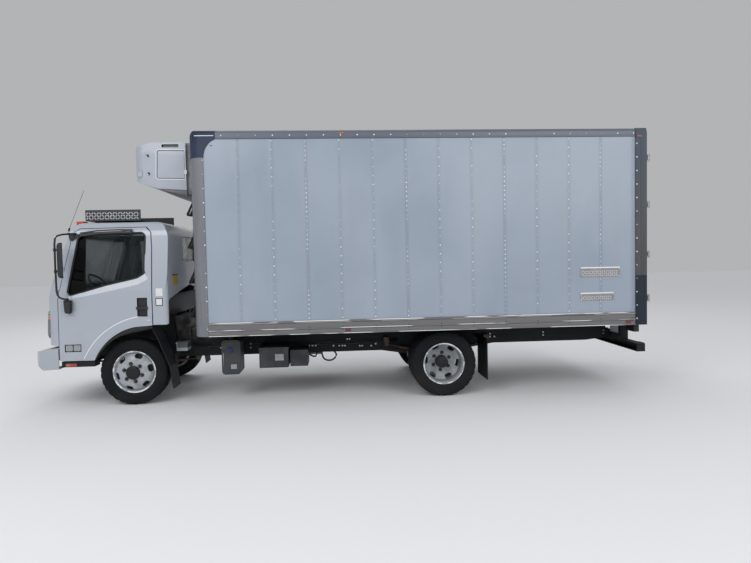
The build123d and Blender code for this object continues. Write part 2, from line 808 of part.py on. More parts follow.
def unit_frame():
    """The dark pan under the housing and the panel that the unit is bolted to."""
    pan = across(PAN_SIDE, -800, 800) - unit_form()
    outline = [(-910, UNIT_FOOT), (910, UNIT_FOOT), (910, 3184), (-910, 3184)]
    return pan + along(outline, UNIT_BACK, BOX_FRONT, radius=20)


put("unit_housing", unit_housing())
put("unit_frame", unit_frame())
wall_face = BOX_FRONT + FRONT_WALL
evaporator_side = [(wall_face, 2790), (1080, 2790), (1190, 2900), (1190, 3140), (wall_face, 3140)]
put("evaporator", across(evaporator_side, -780, 780, radius=[0, 20, 20, 20, 0]))


# Cab: one outer form, hollowed to the wall's thickness and split where its panels meet
CAB_SIDE = [
    (-984, 500),
    (-984, 860),
    (-958, 1330),
    (-904, 1435),
    (-686, 2117),
    (-620, 2215),
    (-500, 2251),
    (250, 2253),
    (400, 2222),
    (470, 2080),
    (458, 1044),
    (458, 500),
]
CAB_SIDE_R = [0, 300, 150, 120, 160, 120, 300, 300, 120, 200, 0, 0]
CAB_LEFT = [(-1030, 500), (-1030, 1400), (-953, 2110), (-880, 2236)]
CAB_RIGHT = [(-y, z) for y, z in reversed(CAB_LEFT)]
CAB_FRONT = CAB_LEFT + [(0, 2262)] + CAB_RIGHT
CAB_FRONT_R = [0, 400, 200, 70, 0, 70, 200, 400, 0]
CAB_PLAN = [(-984, -1031), (470, -1031), (470, 1031), (-984, 1031)]


def cab_form(inset):
    side_view = across(CAB_SIDE, -1100, 1100, radius=CAB_SIDE_R, inset=inset)
    front_view = along(CAB_FRONT, -1100, 600, radius=CAB_FRONT_R, inset=inset)
    plan_view = upward(CAB_PLAN, 450, 2300, radius=[180, 60, 60, 180], inset=inset)
    return side_view & front_view & plan_view


outer = cab_form(0)
inner = cab_form(CAB_WALL)
shell = outer - inner

# Door outline: straight shut lines and the wheel arch, clockwise from the low front corner
ARCH = [(-415, 583), (-215, 845), (68, 971)]


def door_face(g, r):
    """The door's outline in X and Z, grown by g all round and by r at the rear edge."""
    arch_points = [(x + g, z - g) for x, z in ARCH]
    outline = [
        arch_points[0],
        (-820 - g, 583 - g),
        (-812 - g, 1325),
        (-640 - g, 2112),
        (-565 - g, 2160 + g),
        (200 + r, 2170 + g),
        (262 + r, 2105),
        (272 + r, 1915),
        (272 + r, 985 - g),
        arch_points[2],
    ]
    return Plane.XZ * make_face([Polyline(*outline), ThreePointArc(*reversed(arch_points))])


def door_prism(grow=0.0, rear_grow=0.0):
    """The outline carried through both sides of the cab, and not through its middle."""
    half = Pos(0, 850, 0) * extrude(door_face(grow, rear_grow), amount=350, dir=(0, 1, 0))
    return half + mirrored(half)


DOOR_WINDOW = [(-712, 1352), (-580, 2078), (203, 2108), (195, 1617), (100, 1560), (-267, 1480)]
DOOR_WINDOW_R = [40, 60, 60, 70, 120, 120]
WINDSHIELD = [(-900, 1425), (-800, 2092), (800, 2092), (900, 1425)]
REAR_WINDOW = [(-330, 1745), (-330, 2080), (330, 2080), (330, 1745)]
FRONT_SPLIT = 2100.0
ROOF_SPLIT = 2160.0

door_hole = door_prism(DOOR_GAP, REAR_GAP)
front_region = across([(-1100, 773), (-600, 773), (-600, FRONT_SPLIT), (-1100, FRONT_SPLIT)], -1100, 1100)
roof_front = [(-1100, 2400), (-1100, FRONT_SPLIT), (-570, FRONT_SPLIT), (-570, ROOF_SPLIT)]
roof_region = across(roof_front + [(600, ROOF_SPLIT), (600, 2400)], -1100, 1100)
rear_region = across([(150, 990), (440, 990), (600, 1060), (600, ROOF_SPLIT), (150, ROOF_SPLIT)], -1100, 1100)
rear_arch_outline = [(-980, 900), (-980, 1290), (-500, 1365), (0, 1432), (500, 1365), (980, 1290), (980, 900)]
rear_arch = along(rear_arch_outline, 350, 600, radius=[0, 60, 200, 300, 200, 60, 0])

windshield_prism = along(WINDSHIELD, -1100, -500, radius=70)
rear_window_prism = along(REAR_WINDOW, 380, 600, radius=50)
door_window_prism = across(DOOR_WINDOW, -1200, 1200, radius=DOOR_WINDOW_R)

cab_front = (shell & front_region) - windshield_prism - door_hole
cab_roof = (shell & roof_region) - door_hole
cab_rear = (shell & rear_region) - rear_window_prism - rear_arch - door_hole
door_shell = (shell & door_prism()) - door_window_prism


def door_side(shape, side):
    return shape & block(-1100, 600, *span(side, 700, 1100), 400, 2400)


def flare_section(step, y):
    """The flare's outline on one plane, its crease drawn in by step."""
    low = (-560 + step, 583)
    high = (120, 1108 - step)
    crease = ThreePointArc(low, (-330 + 0.7 * step, 905 - 0.7 * step), high)
    rear = Polyline(high, (272, 1112 - step), (272, 985), ARCH[2])
    arch = ThreePointArc(*reversed(ARCH))
    return Pos(0, y, 0) * (Plane.XZ * make_face([crease, rear, arch, Line(ARCH[0], low)]))


def wheel_flare():
    """The raised panel round the arch, whose sloped upper edge catches the light."""
    outline = loft([flare_section(0, 1015), flare_section(26, 1041)], ruled=True)
    return ((cab_form(-7) - cab_form(20)) & outline) & door_prism()


# The door's shoulder: a slope that takes the skin back towards the window's lower edge. The two
# lines run from front to rear, and the lower one is where the slope would stand proud.
SILL_LINE = [(-712, 1352), (-267, 1480), (100, 1560), (195, 1617)]
SLOPE_FOOT = [(-673, 1217), (-233, 1344), (152, 1428), (267, 1497)]
SHOULDER_DEPTH = 15.0
SHOULDER_PROUD = 11.0
SKIN_LEAN_DEG = 6.2
LEAN_FROM_Z = 1400.0


def shoulder_section(points, out):
    """One end of the cut, on a plane along the door's leaning skin."""
    top = [(x, z + 30) for x, z in reversed(SILL_LINE)]
    face = make_face(Polyline(*[(x, z - LEAN_FROM_Z) for x, z in points + top], close=True))
    return Pos(0, out, 0) * (Plane.XZ * face)


def shoulder_cut():
    sections = [shoulder_section(SLOPE_FOOT, SHOULDER_PROUD), shoulder_section(SILL_LINE, -SHOULDER_DEPTH)]
    return Pos(0, 1030, LEAN_FROM_Z) * Rot(SKIN_LEAN_DEG, 0, 0) * loft(sections, ruled=True)


def handle():
    """A pull bar across a dark cup let into the door."""
    grip = block(92, 229, 1012, 1042, 1180, 1212)
    return grip - block(122, 196, 1000, 1026, 1170, 1222)


HANDLE_CUP = block(100, 221, 1004, 1100, 1094, 1320)
DOOR_LAMP_BAY = block(-758, -566, 1016, 1100, 690, 780)


def mirror_set():
    """Mirror head on a tube loop from two brackets on the door's front edge."""
    head = across([(-741, 1488), (-649, 1500), (-649, 1957), (-741, 1969)], 1085, 1275, radius=30)
    upper = [(-600, 940, 2100), (-690, 1120, 2072), (-725, 1180, 2040)]
    lower = [(-728, 1180, 1232), (-690, 1030, 1222)]
    path = FilletPolyline(*upper, *lower, radius=25)
    loop_tube = sweep(Plane(path @ 0, z_dir=path % 0) * Circle(11), path=path)
    foot = across([(-738, 1143), (-631, 1143), (-640, 1320), (-730, 1320)], 1026, 1110, radius=20)
    return head + loop_tube + foot


# Door hinges: a pin and its gooseneck arm on the front panel, in a pocket of the door's edge
HINGE_X = -800.0
HINGE_Y = 1022.0
CAB_HINGE_Z = [835.0, 1215.0]
CAB_PIN_R = 5.0


def hinge_pocket(z):
    pocket = block(-840, -786, 960, 1025, z - 25, z + 25)
    return pocket + Pos(HINGE_X, HINGE_Y, z) * Cylinder(CAB_PIN_R + 1, 90)


def hinge_arm(z):
    """From the pin inward and then forward to the panel, clear of the door's edge as it turns."""
    arm = Pos(HINGE_X, HINGE_Y, z) * Cylinder(CAB_PIN_R, 86)
    arm += block(HINGE_X - 2.5, HINGE_X + 6, 982, HINGE_Y, z - 19, z + 19)
    return arm + block(-836, HINGE_X + 6, 982, 994, z - 19, z + 19)


door_right = door_side(door_shell, 1) + wheel_flare() - shoulder_cut() - HANDLE_CUP - DOOR_LAMP_BAY
door_right += handle() + mirror_set()
for z in CAB_HINGE_Z:
    door_right -= hinge_pocket(z)
door_pane = door_side((cab_form(18) - cab_form(24)) & door_window_prism, 1)
put("cab_door_right", door_right)
put("cab_door_left", mirrored(door_right))
put("door_glass_right", door_pane)
put("door_glass_left", mirrored(door_pane))

put("cab_roof", cab_roof)
put("cab_rear", cab_rear)
pane_form = cab_form(14) - cab_form(20)
put("cab_glass", pane_form & windshield_prism, pane_form & rear_window_prism)


# Front panel: the grille with its slats, and the head lamps that turn up at the corners
GRILLE = [(-575, 868), (575, 868), (560, 1058), (-560, 1058)]
SLATS = 4
SLAT_LOW = 906.0
SLAT_PITCH = 38.0
LAMP_LOW = [(603, 1036), (615, 846), (918, 846), (966, 905)]
LAMP_CORNER = [(966, 1160), (930, 1196), (880, 1176), (842, 1052)]
HEAD_LAMP = LAMP_LOW + LAMP_CORNER
HEAD_LAMP_R = [20, 20, 40, 40, 25, 25, 30, 60]
lamp_bay = along(HEAD_LAMP, -1100, -890, radius=HEAD_LAMP_R)


def front_panel():
    panel = cab_front - along(GRILLE, -1100, -900, radius=20)
    for k in range(SLATS):
        z = SLAT_LOW + k * SLAT_PITCH
        panel += block(-972, -935, -578, 578, z - 7, z + 7)
    for z in CAB_HINGE_Z:
        panel += hinge_arm(z) + mirrored(hinge_arm(z))
    relief = Pos(HINGE_X, HINGE_Y, 1385) * Cylinder(13, 100)
    panel -= relief + mirrored(relief)
    return panel - lamp_bay - mirrored(lamp_bay)


put("cab_front", front_panel())


head_lamp = (cab_form(3) - cab_form(46)) & lamp_bay
roof_markers = []
for y in (-700, -350, 0, 350, 700):
    roof_markers.append(Pos(-640, y, 2240) * Box(80, 130, 46) - cab_form(0))
put("cab_lamps", head_lamp, mirrored(head_lamp), *roof_markers)


# Floor: footwells, the rise over the wheels, the seat deck and the step up to the rear wall
FLOOR_LOW = [(-940, 790), (-500, 790), (-300, 1050), (340, 1050), (400, 1290), (420, 1290)]
FLOOR_HIGH = [(420, 1330), (370, 1330), (310, 1090), (-330, 1090), (-530, 830), (-940, 830)]


def tilt_bracket(side):
    """Hangs from the front panel's foot and turns on the pin above the bumper."""
    y = side * PIVOT_Y
    plate = across([(-984, TILT_Z), (-916, TILT_Z), (-880, 790), (-933, 790), (-933, 762)], y - 15, y + 15)
    plate += Pos(TILT_X, y, TILT_Z) * Rot(90, 0, 0) * Cylinder(34, 30)
    plate -= Pos(TILT_X, y, TILT_Z) * Rot(90, 0, 0) * Cylinder(PIVOT_R + 1.5, 60)
    return plate


CAB_HALF_CLEAR = 965.0


def cab_floor():
    plate = across(FLOOR_LOW + FLOOR_HIGH, -1000, 1000) & cab_form(CAB_WALL)
    hump_outer = along([(-330, 800), (-300, 1180), (300, 1180), (330, 800)], -560, 330, radius=[0, 60, 60, 0])
    hump_inner = along([(-290, 700), (-262, 1145), (262, 1145), (290, 700)], -525, 330, radius=[0, 50, 50, 0])
    floor = plate + (hump_outer & block(-560, 330, -400, 400, 800, 1300))
    floor -= hump_inner & block(-525, 345, -400, 400, 700, 1300)
    for side in (-1, 1):
        floor -= block(-835, 300, *span(side, CAB_HALF_CLEAR, 1200), 700, 1400)
    return floor + tilt_bracket(-1) + tilt_bracket(1)


put("cab_floor", cab_floor())


# Seats: cushion and back for the driver, the middle and the passenger. Columns: middle Y, half width
SEATS = [(-560.0, 250.0), (30.0, 190.0), (560.0, 250.0)]
MIDDLE_SEAT_LIFT = 92.0
CUSHION = [(-260, 1092), (230, 1092), (230, 1205), (-230, 1235), (-262, 1200)]
SEAT_BACK = [(150, 1206), (250, 1200), (345, 1790), (300, 1830), (245, 1800)]


def seat(y, half):
    cushion = across(CUSHION, y - half, y + half, radius=[0, 0, 30, 40, 30])
    return cushion + across(SEAT_BACK, y - half, y + half, radius=[20, 20, 30, 30, 30])


middle_seat = Pos(0, 0, MIDDLE_SEAT_LIFT) * seat(*SEATS[1])
put("cab_seats", seat(*SEATS[0]), middle_seat, seat(*SEATS[2]))

# Dashboard with the steering column and wheel
DASHBOARD = [(-900, 1180), (-640, 1180), (-600, 1240), (-620, 1380), (-720, 1425), (-880, 1425)]
DRIVER_Y = -560.0
STEERING_R = 215.0
GRIP_R = 15.0
GRIP_SIDES = 8
STEERING_SIDES = 32


def dashboard():
    body = across(DASHBOARD, -940, 940, radius=[0, 60, 40, 60, 60, 0]) & cab_form(CAB_WALL + 12)
    hub = (-480, DRIVER_Y, 1437)
    body += rod((-720, DRIVER_Y, 1233), hub, 38)
    grip = []
    for k in range(GRIP_SIDES):
        a = 2 * pi * k / GRIP_SIDES
        grip.append((GRIP_R * sin(a), STEERING_R + GRIP_R * cos(a)))
    wheel = Rot(90, 0, 0) * faceted_ring(grip, STEERING_SIDES)
    wheel += Box(30, 2 * STEERING_R, 12) + Cylinder(55, 40)
    return body + Plane(hub, z_dir=(200, 0, 170)) * wheel


put("dashboard", dashboard())


# Roof tray of sheet metal, open above and behind, on four feet
TRAY_FRONT = -590.0
TRAY_REAR = 78.0
TRAY_HALF = 720.0
TRAY_LOW = 2268.0
TRAY_TOP = 2405.0
SHEET = 8.0


def roof_tray():
    tray = block(TRAY_FRONT, TRAY_REAR, -TRAY_HALF, TRAY_HALF, TRAY_LOW, TRAY_TOP)
    tray -= block(
        TRAY_FRONT + SHEET,
        TRAY_REAR + 10,
        -TRAY_HALF + SHEET,
        TRAY_HALF - SHEET,
        TRAY_LOW + SHEET,
        TRAY_TOP + 10,
    )
    for side in (-1, 1):
        for x in (-480, 0):
            foot = block(x - 30, x + 30, *span(side, 580, 620), 2235, TRAY_LOW)
            tray += foot - cab_form(0)
    return tray


put("roof_tray", roof_tray())
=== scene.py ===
from math import cos, radians, sin, tau

import bmesh
import bpy
from mathutils import Matrix, Vector


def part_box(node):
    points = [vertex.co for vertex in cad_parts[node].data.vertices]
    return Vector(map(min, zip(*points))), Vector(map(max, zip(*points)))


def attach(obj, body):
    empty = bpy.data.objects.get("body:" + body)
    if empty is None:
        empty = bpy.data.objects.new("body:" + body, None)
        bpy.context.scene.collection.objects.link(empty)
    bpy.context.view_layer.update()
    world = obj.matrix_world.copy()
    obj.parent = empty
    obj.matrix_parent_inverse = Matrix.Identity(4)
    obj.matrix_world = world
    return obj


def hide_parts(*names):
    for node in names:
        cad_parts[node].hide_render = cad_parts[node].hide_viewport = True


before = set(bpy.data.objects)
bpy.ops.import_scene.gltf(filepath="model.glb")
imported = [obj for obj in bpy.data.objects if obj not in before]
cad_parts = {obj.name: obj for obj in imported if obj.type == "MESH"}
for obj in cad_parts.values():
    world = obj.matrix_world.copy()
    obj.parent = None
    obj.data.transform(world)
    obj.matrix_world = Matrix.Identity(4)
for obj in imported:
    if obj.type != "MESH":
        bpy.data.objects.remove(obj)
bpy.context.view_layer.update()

# The viewpoint: a person standing level with the middle of the truck on its driver's side, about
# 7 m off, with a phone held upright at eye height. Places in this file are metres from the front
# axle's middle on the ground: x rearward, y to the right-hand side, z up.
AXLE_X = sum(corner.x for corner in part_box("tyre_front_left")) / 2
EYE = (2.518, -7.958, 1.737)
YAW = radians(3.77)
PITCH = radians(2.36)
ROLL = radians(-1.17)
FOCAL_SHARE = 564 / 751


def spot(x, y, z):
    """A place given from the front axle, in the frame's own coordinates."""
    return Vector((AXLE_X + x, y, z))


ahead = Vector((sin(YAW) * cos(PITCH), cos(YAW) * cos(PITCH), -sin(PITCH)))
level = Vector((cos(YAW), -sin(YAW), 0))
before_roll = level.cross(ahead)
across = cos(ROLL) * level + sin(ROLL) * before_roll
above = -sin(ROLL) * level + cos(ROLL) * before_roll

camera_data = bpy.data.cameras.new("camera")
camera_data.sensor_width = 36.0
camera_data.lens = 36.0 * FOCAL_SHARE
camera = bpy.data.objects.new("camera", camera_data)
turn = Matrix((across, above, -ahead)).transposed().to_4x4()
camera.matrix_world = Matrix.Translation(spot(*EYE)) @ turn
bpy.context.scene.collection.objects.link(camera)
bpy.context.scene.camera = camera
bpy.context.scene.view_settings.view_transform = "Standard"


# The floor and the light: a pale studio floor that carries the truck's shadow, an even white
# sky, and three broad lamps, two on the camera's side and one behind the roof for an edge.
class Wire:
    """One output of a node, so that shader maths reads as plain sums of masks."""

    def __init__(self, finish, socket):
        self.finish = finish
        self.socket = socket

    def maths(self, operation, *values):
        feeds = dict(enumerate(values))
        return self.finish.node("ShaderNodeMath", {"operation": operation}, feeds)

    def __add__(self, other):
        return self.maths("ADD", self, other)

    def __radd__(self, other):
        return self.maths("ADD", other, self)

    def __sub__(self, other):
        return self.maths("SUBTRACT", self, other)

    def __rsub__(self, other):
        return self.maths("SUBTRACT", other, self)

    def __mul__(self, other):
        return self.maths("MULTIPLY", self, other)

    def __rmul__(self, other):
        return self.maths("MULTIPLY", other, self)

    def __truediv__(self, other):
        return self.maths("DIVIDE", self, other)

    def __gt__(self, other):
        return self.maths("GREATER_THAN", self, other)

    def __lt__(self, other):
        return self.maths("LESS_THAN", self, other)

    def __mod__(self, other):
        return self.maths("FLOORED_MODULO", self, other)

    def __abs__(self):
        return self.maths("ABSOLUTE", self)

    def root(self):
        return self.maths("SQRT", self)

    def clamped(self):
        return self.finish.node("ShaderNodeClamp", {}, {"Value": self})


class Finish:
    """A material with its node tree, the object's coordinates and its surface shader."""

    def __init__(self, name, colour=(0.8, 0.8, 0.8), roughness=0.5, **shader_values):
        self.material = bpy.data.materials.new(name)
        self.material.use_nodes = True
        self.material.diffuse_color = (*colour, 1)
        self.tree = self.material.node_tree
        self.shader = self.tree.nodes["Principled BSDF"]
        self.feed("Base Color", (*colour, 1))
        self.feed("Roughness", roughness)
        for socket, value in shader_values.items():
            self.feed(socket.replace("_", " "), value)

    def feed(self, socket, value, node=None):
        """Sets a socket to a number or colour, or links a wire to it."""
        target = (node or self.shader).inputs[socket]
        if isinstance(value, Wire):
            self.tree.links.new(value.socket, target)
        else:
            target.default_value = value

    def node(self, kind, settings, feeds, output=0):
        made = self.tree.nodes.new(kind)
        for key, value in settings.items():
            if key == "stops":
                for place, grey in value[2:]:
                    made.color_ramp.elements.new(place)
                for element, (place, grey) in zip(made.color_ramp.elements, value):
                    element.position = place
                    element.color = (grey, grey, grey, 1)
            else:
                setattr(made, key, value)
        for socket, value in feeds.items():
            self.feed(socket, value, made)
        return Wire(self, made.outputs[output])

    def place(self):
        """The object's x, y and z as three wires."""
        where = self.node("ShaderNodeTexCoord", {}, {}, "Object")
        return [self.node("ShaderNodeSeparateXYZ", {}, {0: where}, k) for k in range(3)]

    def noise(self, scale, detail=3.0, stretch=(1, 1, 1), distortion=0.0):
        where = self.node("ShaderNodeTexCoord", {}, {}, "Object")
        scaled = self.node("ShaderNodeMapping", {}, {"Vector": where, "Scale": stretch})
        feeds = {"Vector": scaled, "Scale": scale, "Detail": detail, "Distortion": distortion}
        return self.node("ShaderNodeTexNoise", {}, feeds)

    def ramp(self, value, *stops):
        return self.node("ShaderNodeValToRGB", {"stops": stops}, {0: value})

    def mix(self, share, low, high):
        """A colour between two others, given as three numbers or as wires."""
        low, high = [c if isinstance(c, Wire) else (*c, 1) for c in (low, high)]
        feeds = {0: share, 6: low, 7: high}
        return self.node("ShaderNodeMix", {"data_type": "RGBA"}, feeds, 2)

    def bump(self, height, strength, distance):
        feeds = {"Height": height, "Strength": strength, "Distance": distance}
        self.feed("Normal", self.node("ShaderNodeBump", {}, feeds))

    def patches(self, scale, detail, start, end, *stretch):
        """Soft patches: 0 where a noise is under start, 1 where it is over end."""
        return self.ramp(self.noise(scale, detail, *stretch), (start, 0.0), (end, 1.0))

    def paint(self, share, low, high):
        """Sets the surface's colour between two others."""
        self.feed("Base Color", self.mix(share, low, high))

    def uneven(self, roughness, more, scale, detail):
        """Sets a roughness that wanders upward from a value."""
        self.feed("Roughness", roughness + more * self.noise(scale, detail))

    def grain(self, scale, detail, strength, distance):
        """Sets a fine bump all over the surface."""
        self.bump(self.noise(scale, detail), strength, distance)


def ridges(wire):
    """A zigzag that falls from 0.5 to 0 and climbs back in each whole step of the wire."""
    return abs(wire % 1.0 - 0.5)


FLOOR_HALF = 40.0
floor_mesh = bpy.data.meshes.new("floor")
floor_corners = [(a * FLOOR_HALF, b * FLOOR_HALF, 0) for a, b in ((-1, -1), (1, -1), (1, 1), (-1, 1))]
floor_mesh.from_pydata(floor_corners, [], [(0, 1, 2, 3)])
floor = bpy.data.objects.new("floor", floor_mesh)
bpy.context.scene.collection.objects.link(floor)
floor_finish = Finish("studio_floor", (0.84, 0.84, 0.84), 0.9)
floor_mesh.materials.append(floor_finish.material)

world = bpy.data.worlds.new("studio")
world.use_nodes = True
backdrop = world.node_tree.nodes["Background"]
backdrop.inputs["Color"].default_value = (0.93, 0.95, 1.0, 1)
backdrop.inputs["Strength"].default_value = 0.60
# What the camera, gloss and glass see of the sky is the far floor's own tone
shown = world.node_tree.nodes.new("ShaderNodeBackground")
shown.inputs["Color"].default_value = (0.450, 0.454, 0.462, 1)
rays = world.node_tree.nodes.new("ShaderNodeLightPath")
either = world.node_tree.nodes.new("ShaderNodeMath")
either.operation = "MAXIMUM"
any_seen = world.node_tree.nodes.new("ShaderNodeMath")
any_seen.operation = "MAXIMUM"
choose = world.node_tree.nodes.new("ShaderNodeMixShader")
for start, end in (
    (rays.outputs["Is Camera Ray"], either.inputs[0]),
    (rays.outputs["Is Glossy Ray"], either.inputs[1]),
    (either.outputs[0], any_seen.inputs[0]),
    (rays.outputs["Is Transmission Ray"], any_seen.inputs[1]),
    (any_seen.outputs[0], choose.inputs[0]),
    (backdrop.outputs[0], choose.inputs[1]),
    (shown.outputs[0], choose.inputs[2]),
    (choose.outputs[0], world.node_tree.nodes["World Output"].inputs["Surface"]),
):
    world.node_tree.links.new(start, end)
bpy.context.scene.world = world

# name, place, aim, size, power
LAMPS = [
    ("key_lamp", (-3.0, -9.0, 7.5), (1.5, 0, 1.6), 6.0, 430),
    ("fill_lamp", (8.5, -9.5, 6.0), (4.0, 0, 1.6), 7.0, 300),
    ("edge_lamp", (2.0, 9.0, 8.5), (2.5, 0, 2.0), 7.0, 330),
]
for name, place, aim, size, power in LAMPS:
    lamp_data = bpy.data.lights.new(name, "AREA")
    lamp_data.size = size
    lamp_data.energy = power
    lamp = bpy.data.objects.new(name, lamp_data)
    lamp.location = spot(*place)
    lamp.rotation_mode = "QUATERNION"
    lamp.rotation_quaternion = (spot(*aim) - spot(*place)).to_track_quat("-Z", "Y")
    bpy.context.scene.collection.objects.link(lamp)


# The chassis: two pressed steel channel rails with crossmembers between them and the box's long
# sills on top. All of it is painted black and has road dust on its ledges and lower faces.
def wear(finish, *node_names):
    """Gives CAD nodes a better finish than the record's plain one."""
    for node_name in node_names:
        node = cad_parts[node_name]
        node.data.materials.clear()
        node.data.materials.append(finish.material)


def dusty(finish, paint, dust, top=0.9, share=0.5):
    """Paint that fades to road dust towards the ground, in soft patches."""
    x, y, z = finish.place()
    patches = finish.patches(3.0, 5.0, 0.35, 0.75)
    low = ((top - z) / top).clamped()
    finish.paint(patches * low * share, paint, dust)
    return patches


ROAD_DUST = (0.16, 0.14, 0.115)
chassis_black = Finish("chassis_black", (0.006, 0.008, 0.011), 0.6, Specular_IOR_Level=0.25)
patches = dusty(chassis_black, (0.006, 0.008, 0.011), ROAD_DUST, 0.9, 0.22)
chassis_black.feed("Roughness", 0.5 + 0.3 * patches)
chassis_black.grain(90.0, 2.0, 0.15, 0.002)
wear(chassis_black, "frame_rails", "crossmembers", "box_sills", "mud_flaps", "cab_steps")
wear(chassis_black, "front_axle", "rear_axle", "knuckle_left", "knuckle_right", "tie_rod")


def new_piece(name, mesh, finish, body, slot, smooth=False):
    """Puts a finished mesh in the scene as a piece that rides on a body."""
    piece = bpy.data.objects.new(name, mesh)
    bpy.context.scene.collection.objects.link(piece)
    if finish is not None:
        mesh.materials.clear()
        mesh.materials.append(finish.material)
    if smooth is not None:
        mesh.shade_smooth() if smooth else mesh.shade_flat()
    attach(piece, body)
    return piece


def plain_mesh(carrier):
    """What an object's modifiers make of it, as a mesh of its own."""
    depsgraph = bpy.context.evaluated_depsgraph_get()
    return bpy.data.meshes.new_from_object(carrier.evaluated_get(depsgraph))


def scatter_tree(title, shape, shape_sizes):
    """Geometry Nodes: a small shape on every vertex, scaled, faced and then leaned on its axis."""
    tree = bpy.data.node_groups.new(title, "GeometryNodeTree")
    inputs = [
        ("Geometry", "Geometry"), ("Length", "Float"), ("Width", "Float"), ("Height", "Float"),
        ("Facing", "Rotation"), ("Lean", "Rotation"), ("Material", "Material"),
    ]
    for label, kind in inputs:
        tree.interface.new_socket(label, in_out="INPUT", socket_type="NodeSocket" + kind)
    tree.interface.new_socket("Geometry", in_out="OUTPUT", socket_type="NodeSocketGeometry")
    given = tree.nodes.new("NodeGroupInput")
    out = tree.nodes.new("NodeGroupOutput")
    small = tree.nodes.new(shape)
    for label, value in shape_sizes.items():
        small.inputs[label].default_value = value
    size = tree.nodes.new("ShaderNodeCombineXYZ")
    turned = tree.nodes.new("FunctionNodeRotateRotation")
    turned.rotation_space = "LOCAL"
    place = tree.nodes.new("GeometryNodeInstanceOnPoints")
    real = tree.nodes.new("GeometryNodeRealizeInstances")
    paint = tree.nodes.new("GeometryNodeSetMaterial")
    for start, end in (
        (given.outputs["Geometry"], place.inputs["Points"]),
        (small.outputs["Mesh"], place.inputs["Instance"]),
        (given.outputs["Length"], size.inputs["X"]),
        (given.outputs["Width"], size.inputs["Y"]),
        (given.outputs["Height"], size.inputs["Z"]),
        (size.outputs[0], place.inputs["Scale"]),
        (given.outputs["Facing"], turned.inputs[0]),
        (given.outputs["Lean"], turned.inputs[1]),
        (turned.outputs[0], place.inputs["Rotation"]),
        (place.outputs[0], real.inputs[0]),
        (real.outputs[0], paint.inputs["Geometry"]),
        (given.outputs["Material"], paint.inputs["Material"]),
        (paint.outputs[0], out.inputs["Geometry"]),
    ):
        tree.links.new(start, end)
    return tree


def scattered(name, tree, points, sizes, facing, lean, finish):
    """The tree's shape at a list of places, as one plain mesh. sizes: length, width, height."""
    seed = bpy.data.meshes.new(name)
    seed.from_pydata([tuple(p) for p in points], [], [])
    carrier = bpy.data.objects.new(name, seed)
    bpy.context.scene.collection.objects.link(carrier)
    nodes = carrier.modifiers.new("scatter", "NODES")
    nodes.node_group = tree
    values = dict(zip(("Length", "Width", "Height"), sizes))
    values.update({"Facing": facing, "Lean": (0, 0, lean), "Material": finish.material})
    for item in tree.interface.items_tree:
        if item.in_out == "INPUT" and item.name in values:
            nodes[item.identifier] = values[item.name]
    made = plain_mesh(carrier)
    bpy.data.objects.remove(carrier)
    return made


BOLT_SHAPE, RIVET_SHAPE = "GeometryNodeMeshCylinder", "GeometryNodeMeshUVSphere"
HEAD_TREES = {
    "bolt": scatter_tree("bolts", BOLT_SHAPE, {"Vertices": 6, "Radius": 1.0, "Depth": 2.0}),
    "rivet": scatter_tree("rivets", RIVET_SHAPE, {"Segments": 8, "Rings": 4, "Radius": 1.0}),
    "stud": scatter_tree("studs", BOLT_SHAPE, {"Vertices": 12, "Radius": 1.0, "Depth": 2.0}),
}
FACINGS = {"side": (radians(90), 0, 0), "front": (0, radians(90), 0), "up": (0, 0, 0)}


def heads(name, kind, points, facing, radius, height, finish, body, slot):
    """Bolt, rivet or stud heads at a list of places, made by one node tree into one mesh."""
    sizes = (radius, radius, height)
    made = scattered(name, HEAD_TREES[kind], points, sizes, FACINGS[facing], 0, finish)
    return new_piece(name, made, None, body, slot, smooth=kind == "rivet")


zinc = Finish("zinc_plate", (0.42, 0.42, 0.4), 0.4, Metallic=1.0)
zinc.uneven(0.3, 0.3, 60.0, 3.0)
RAIL_WEB_Y = 0.4255
# x and z of the bolt heads along each rail
RAIL_BOLTS = [
    (0.95, 0.600), (1.340, 0.585), (1.340, 0.640), (1.900, 0.600), (2.112, 0.591), (2.154, 0.590),
    (2.197, 0.589), (2.433, 0.581), (2.511, 0.579), (2.554, 0.578), (2.587, 0.577), (2.784, 0.570),
    (2.817, 0.569), (2.938, 0.566), (2.998, 0.590), (2.620, 0.665), (2.650, 0.665), (3.160, 0.600),
    (3.160, 0.640), (4.560, 0.640), (4.560, 0.680), (4.620, 0.640), (5.300, 0.640), (5.300, 0.680),
    (6.150, 0.640), (6.150, 0.680),
]
rail_bolts = [spot(x, side * (RAIL_WEB_Y + 0.004), z) for side in (-1, 1) for x, z in RAIL_BOLTS]
heads("rail_bolts", "bolt", rail_bolts, "side", 0.012, 0.008, zinc, "chassis", "bare_steel")


# The running gear: bare and painted steel leaf springs under U-bolts, the drive shaft, the
# engine's plain block, the exhaust can, and the tanks and boxes that hang outside the rails.
spring_steel = Finish("spring_steel", (0.07, 0.065, 0.06), 0.6, Metallic=0.6)
rust = spring_steel.patches(14.0, 5.0, 0.45, 0.7)
spring_steel.paint(rust, (0.05, 0.05, 0.05), (0.13, 0.075, 0.045))
wear(spring_steel, "leaf_springs", "drive_shaft")

cast_metal = Finish("cast_metal", (0.2, 0.2, 0.2), 0.55, Metallic=0.7)
grime = cast_metal.patches(9.0, 6.0, 0.35, 0.65)
cast_metal.paint(grime, (0.05, 0.048, 0.045), (0.2, 0.2, 0.2))
cast_metal.grain(120.0, 2.0, 0.3, 0.002)
wear(cast_metal, "engine_block")

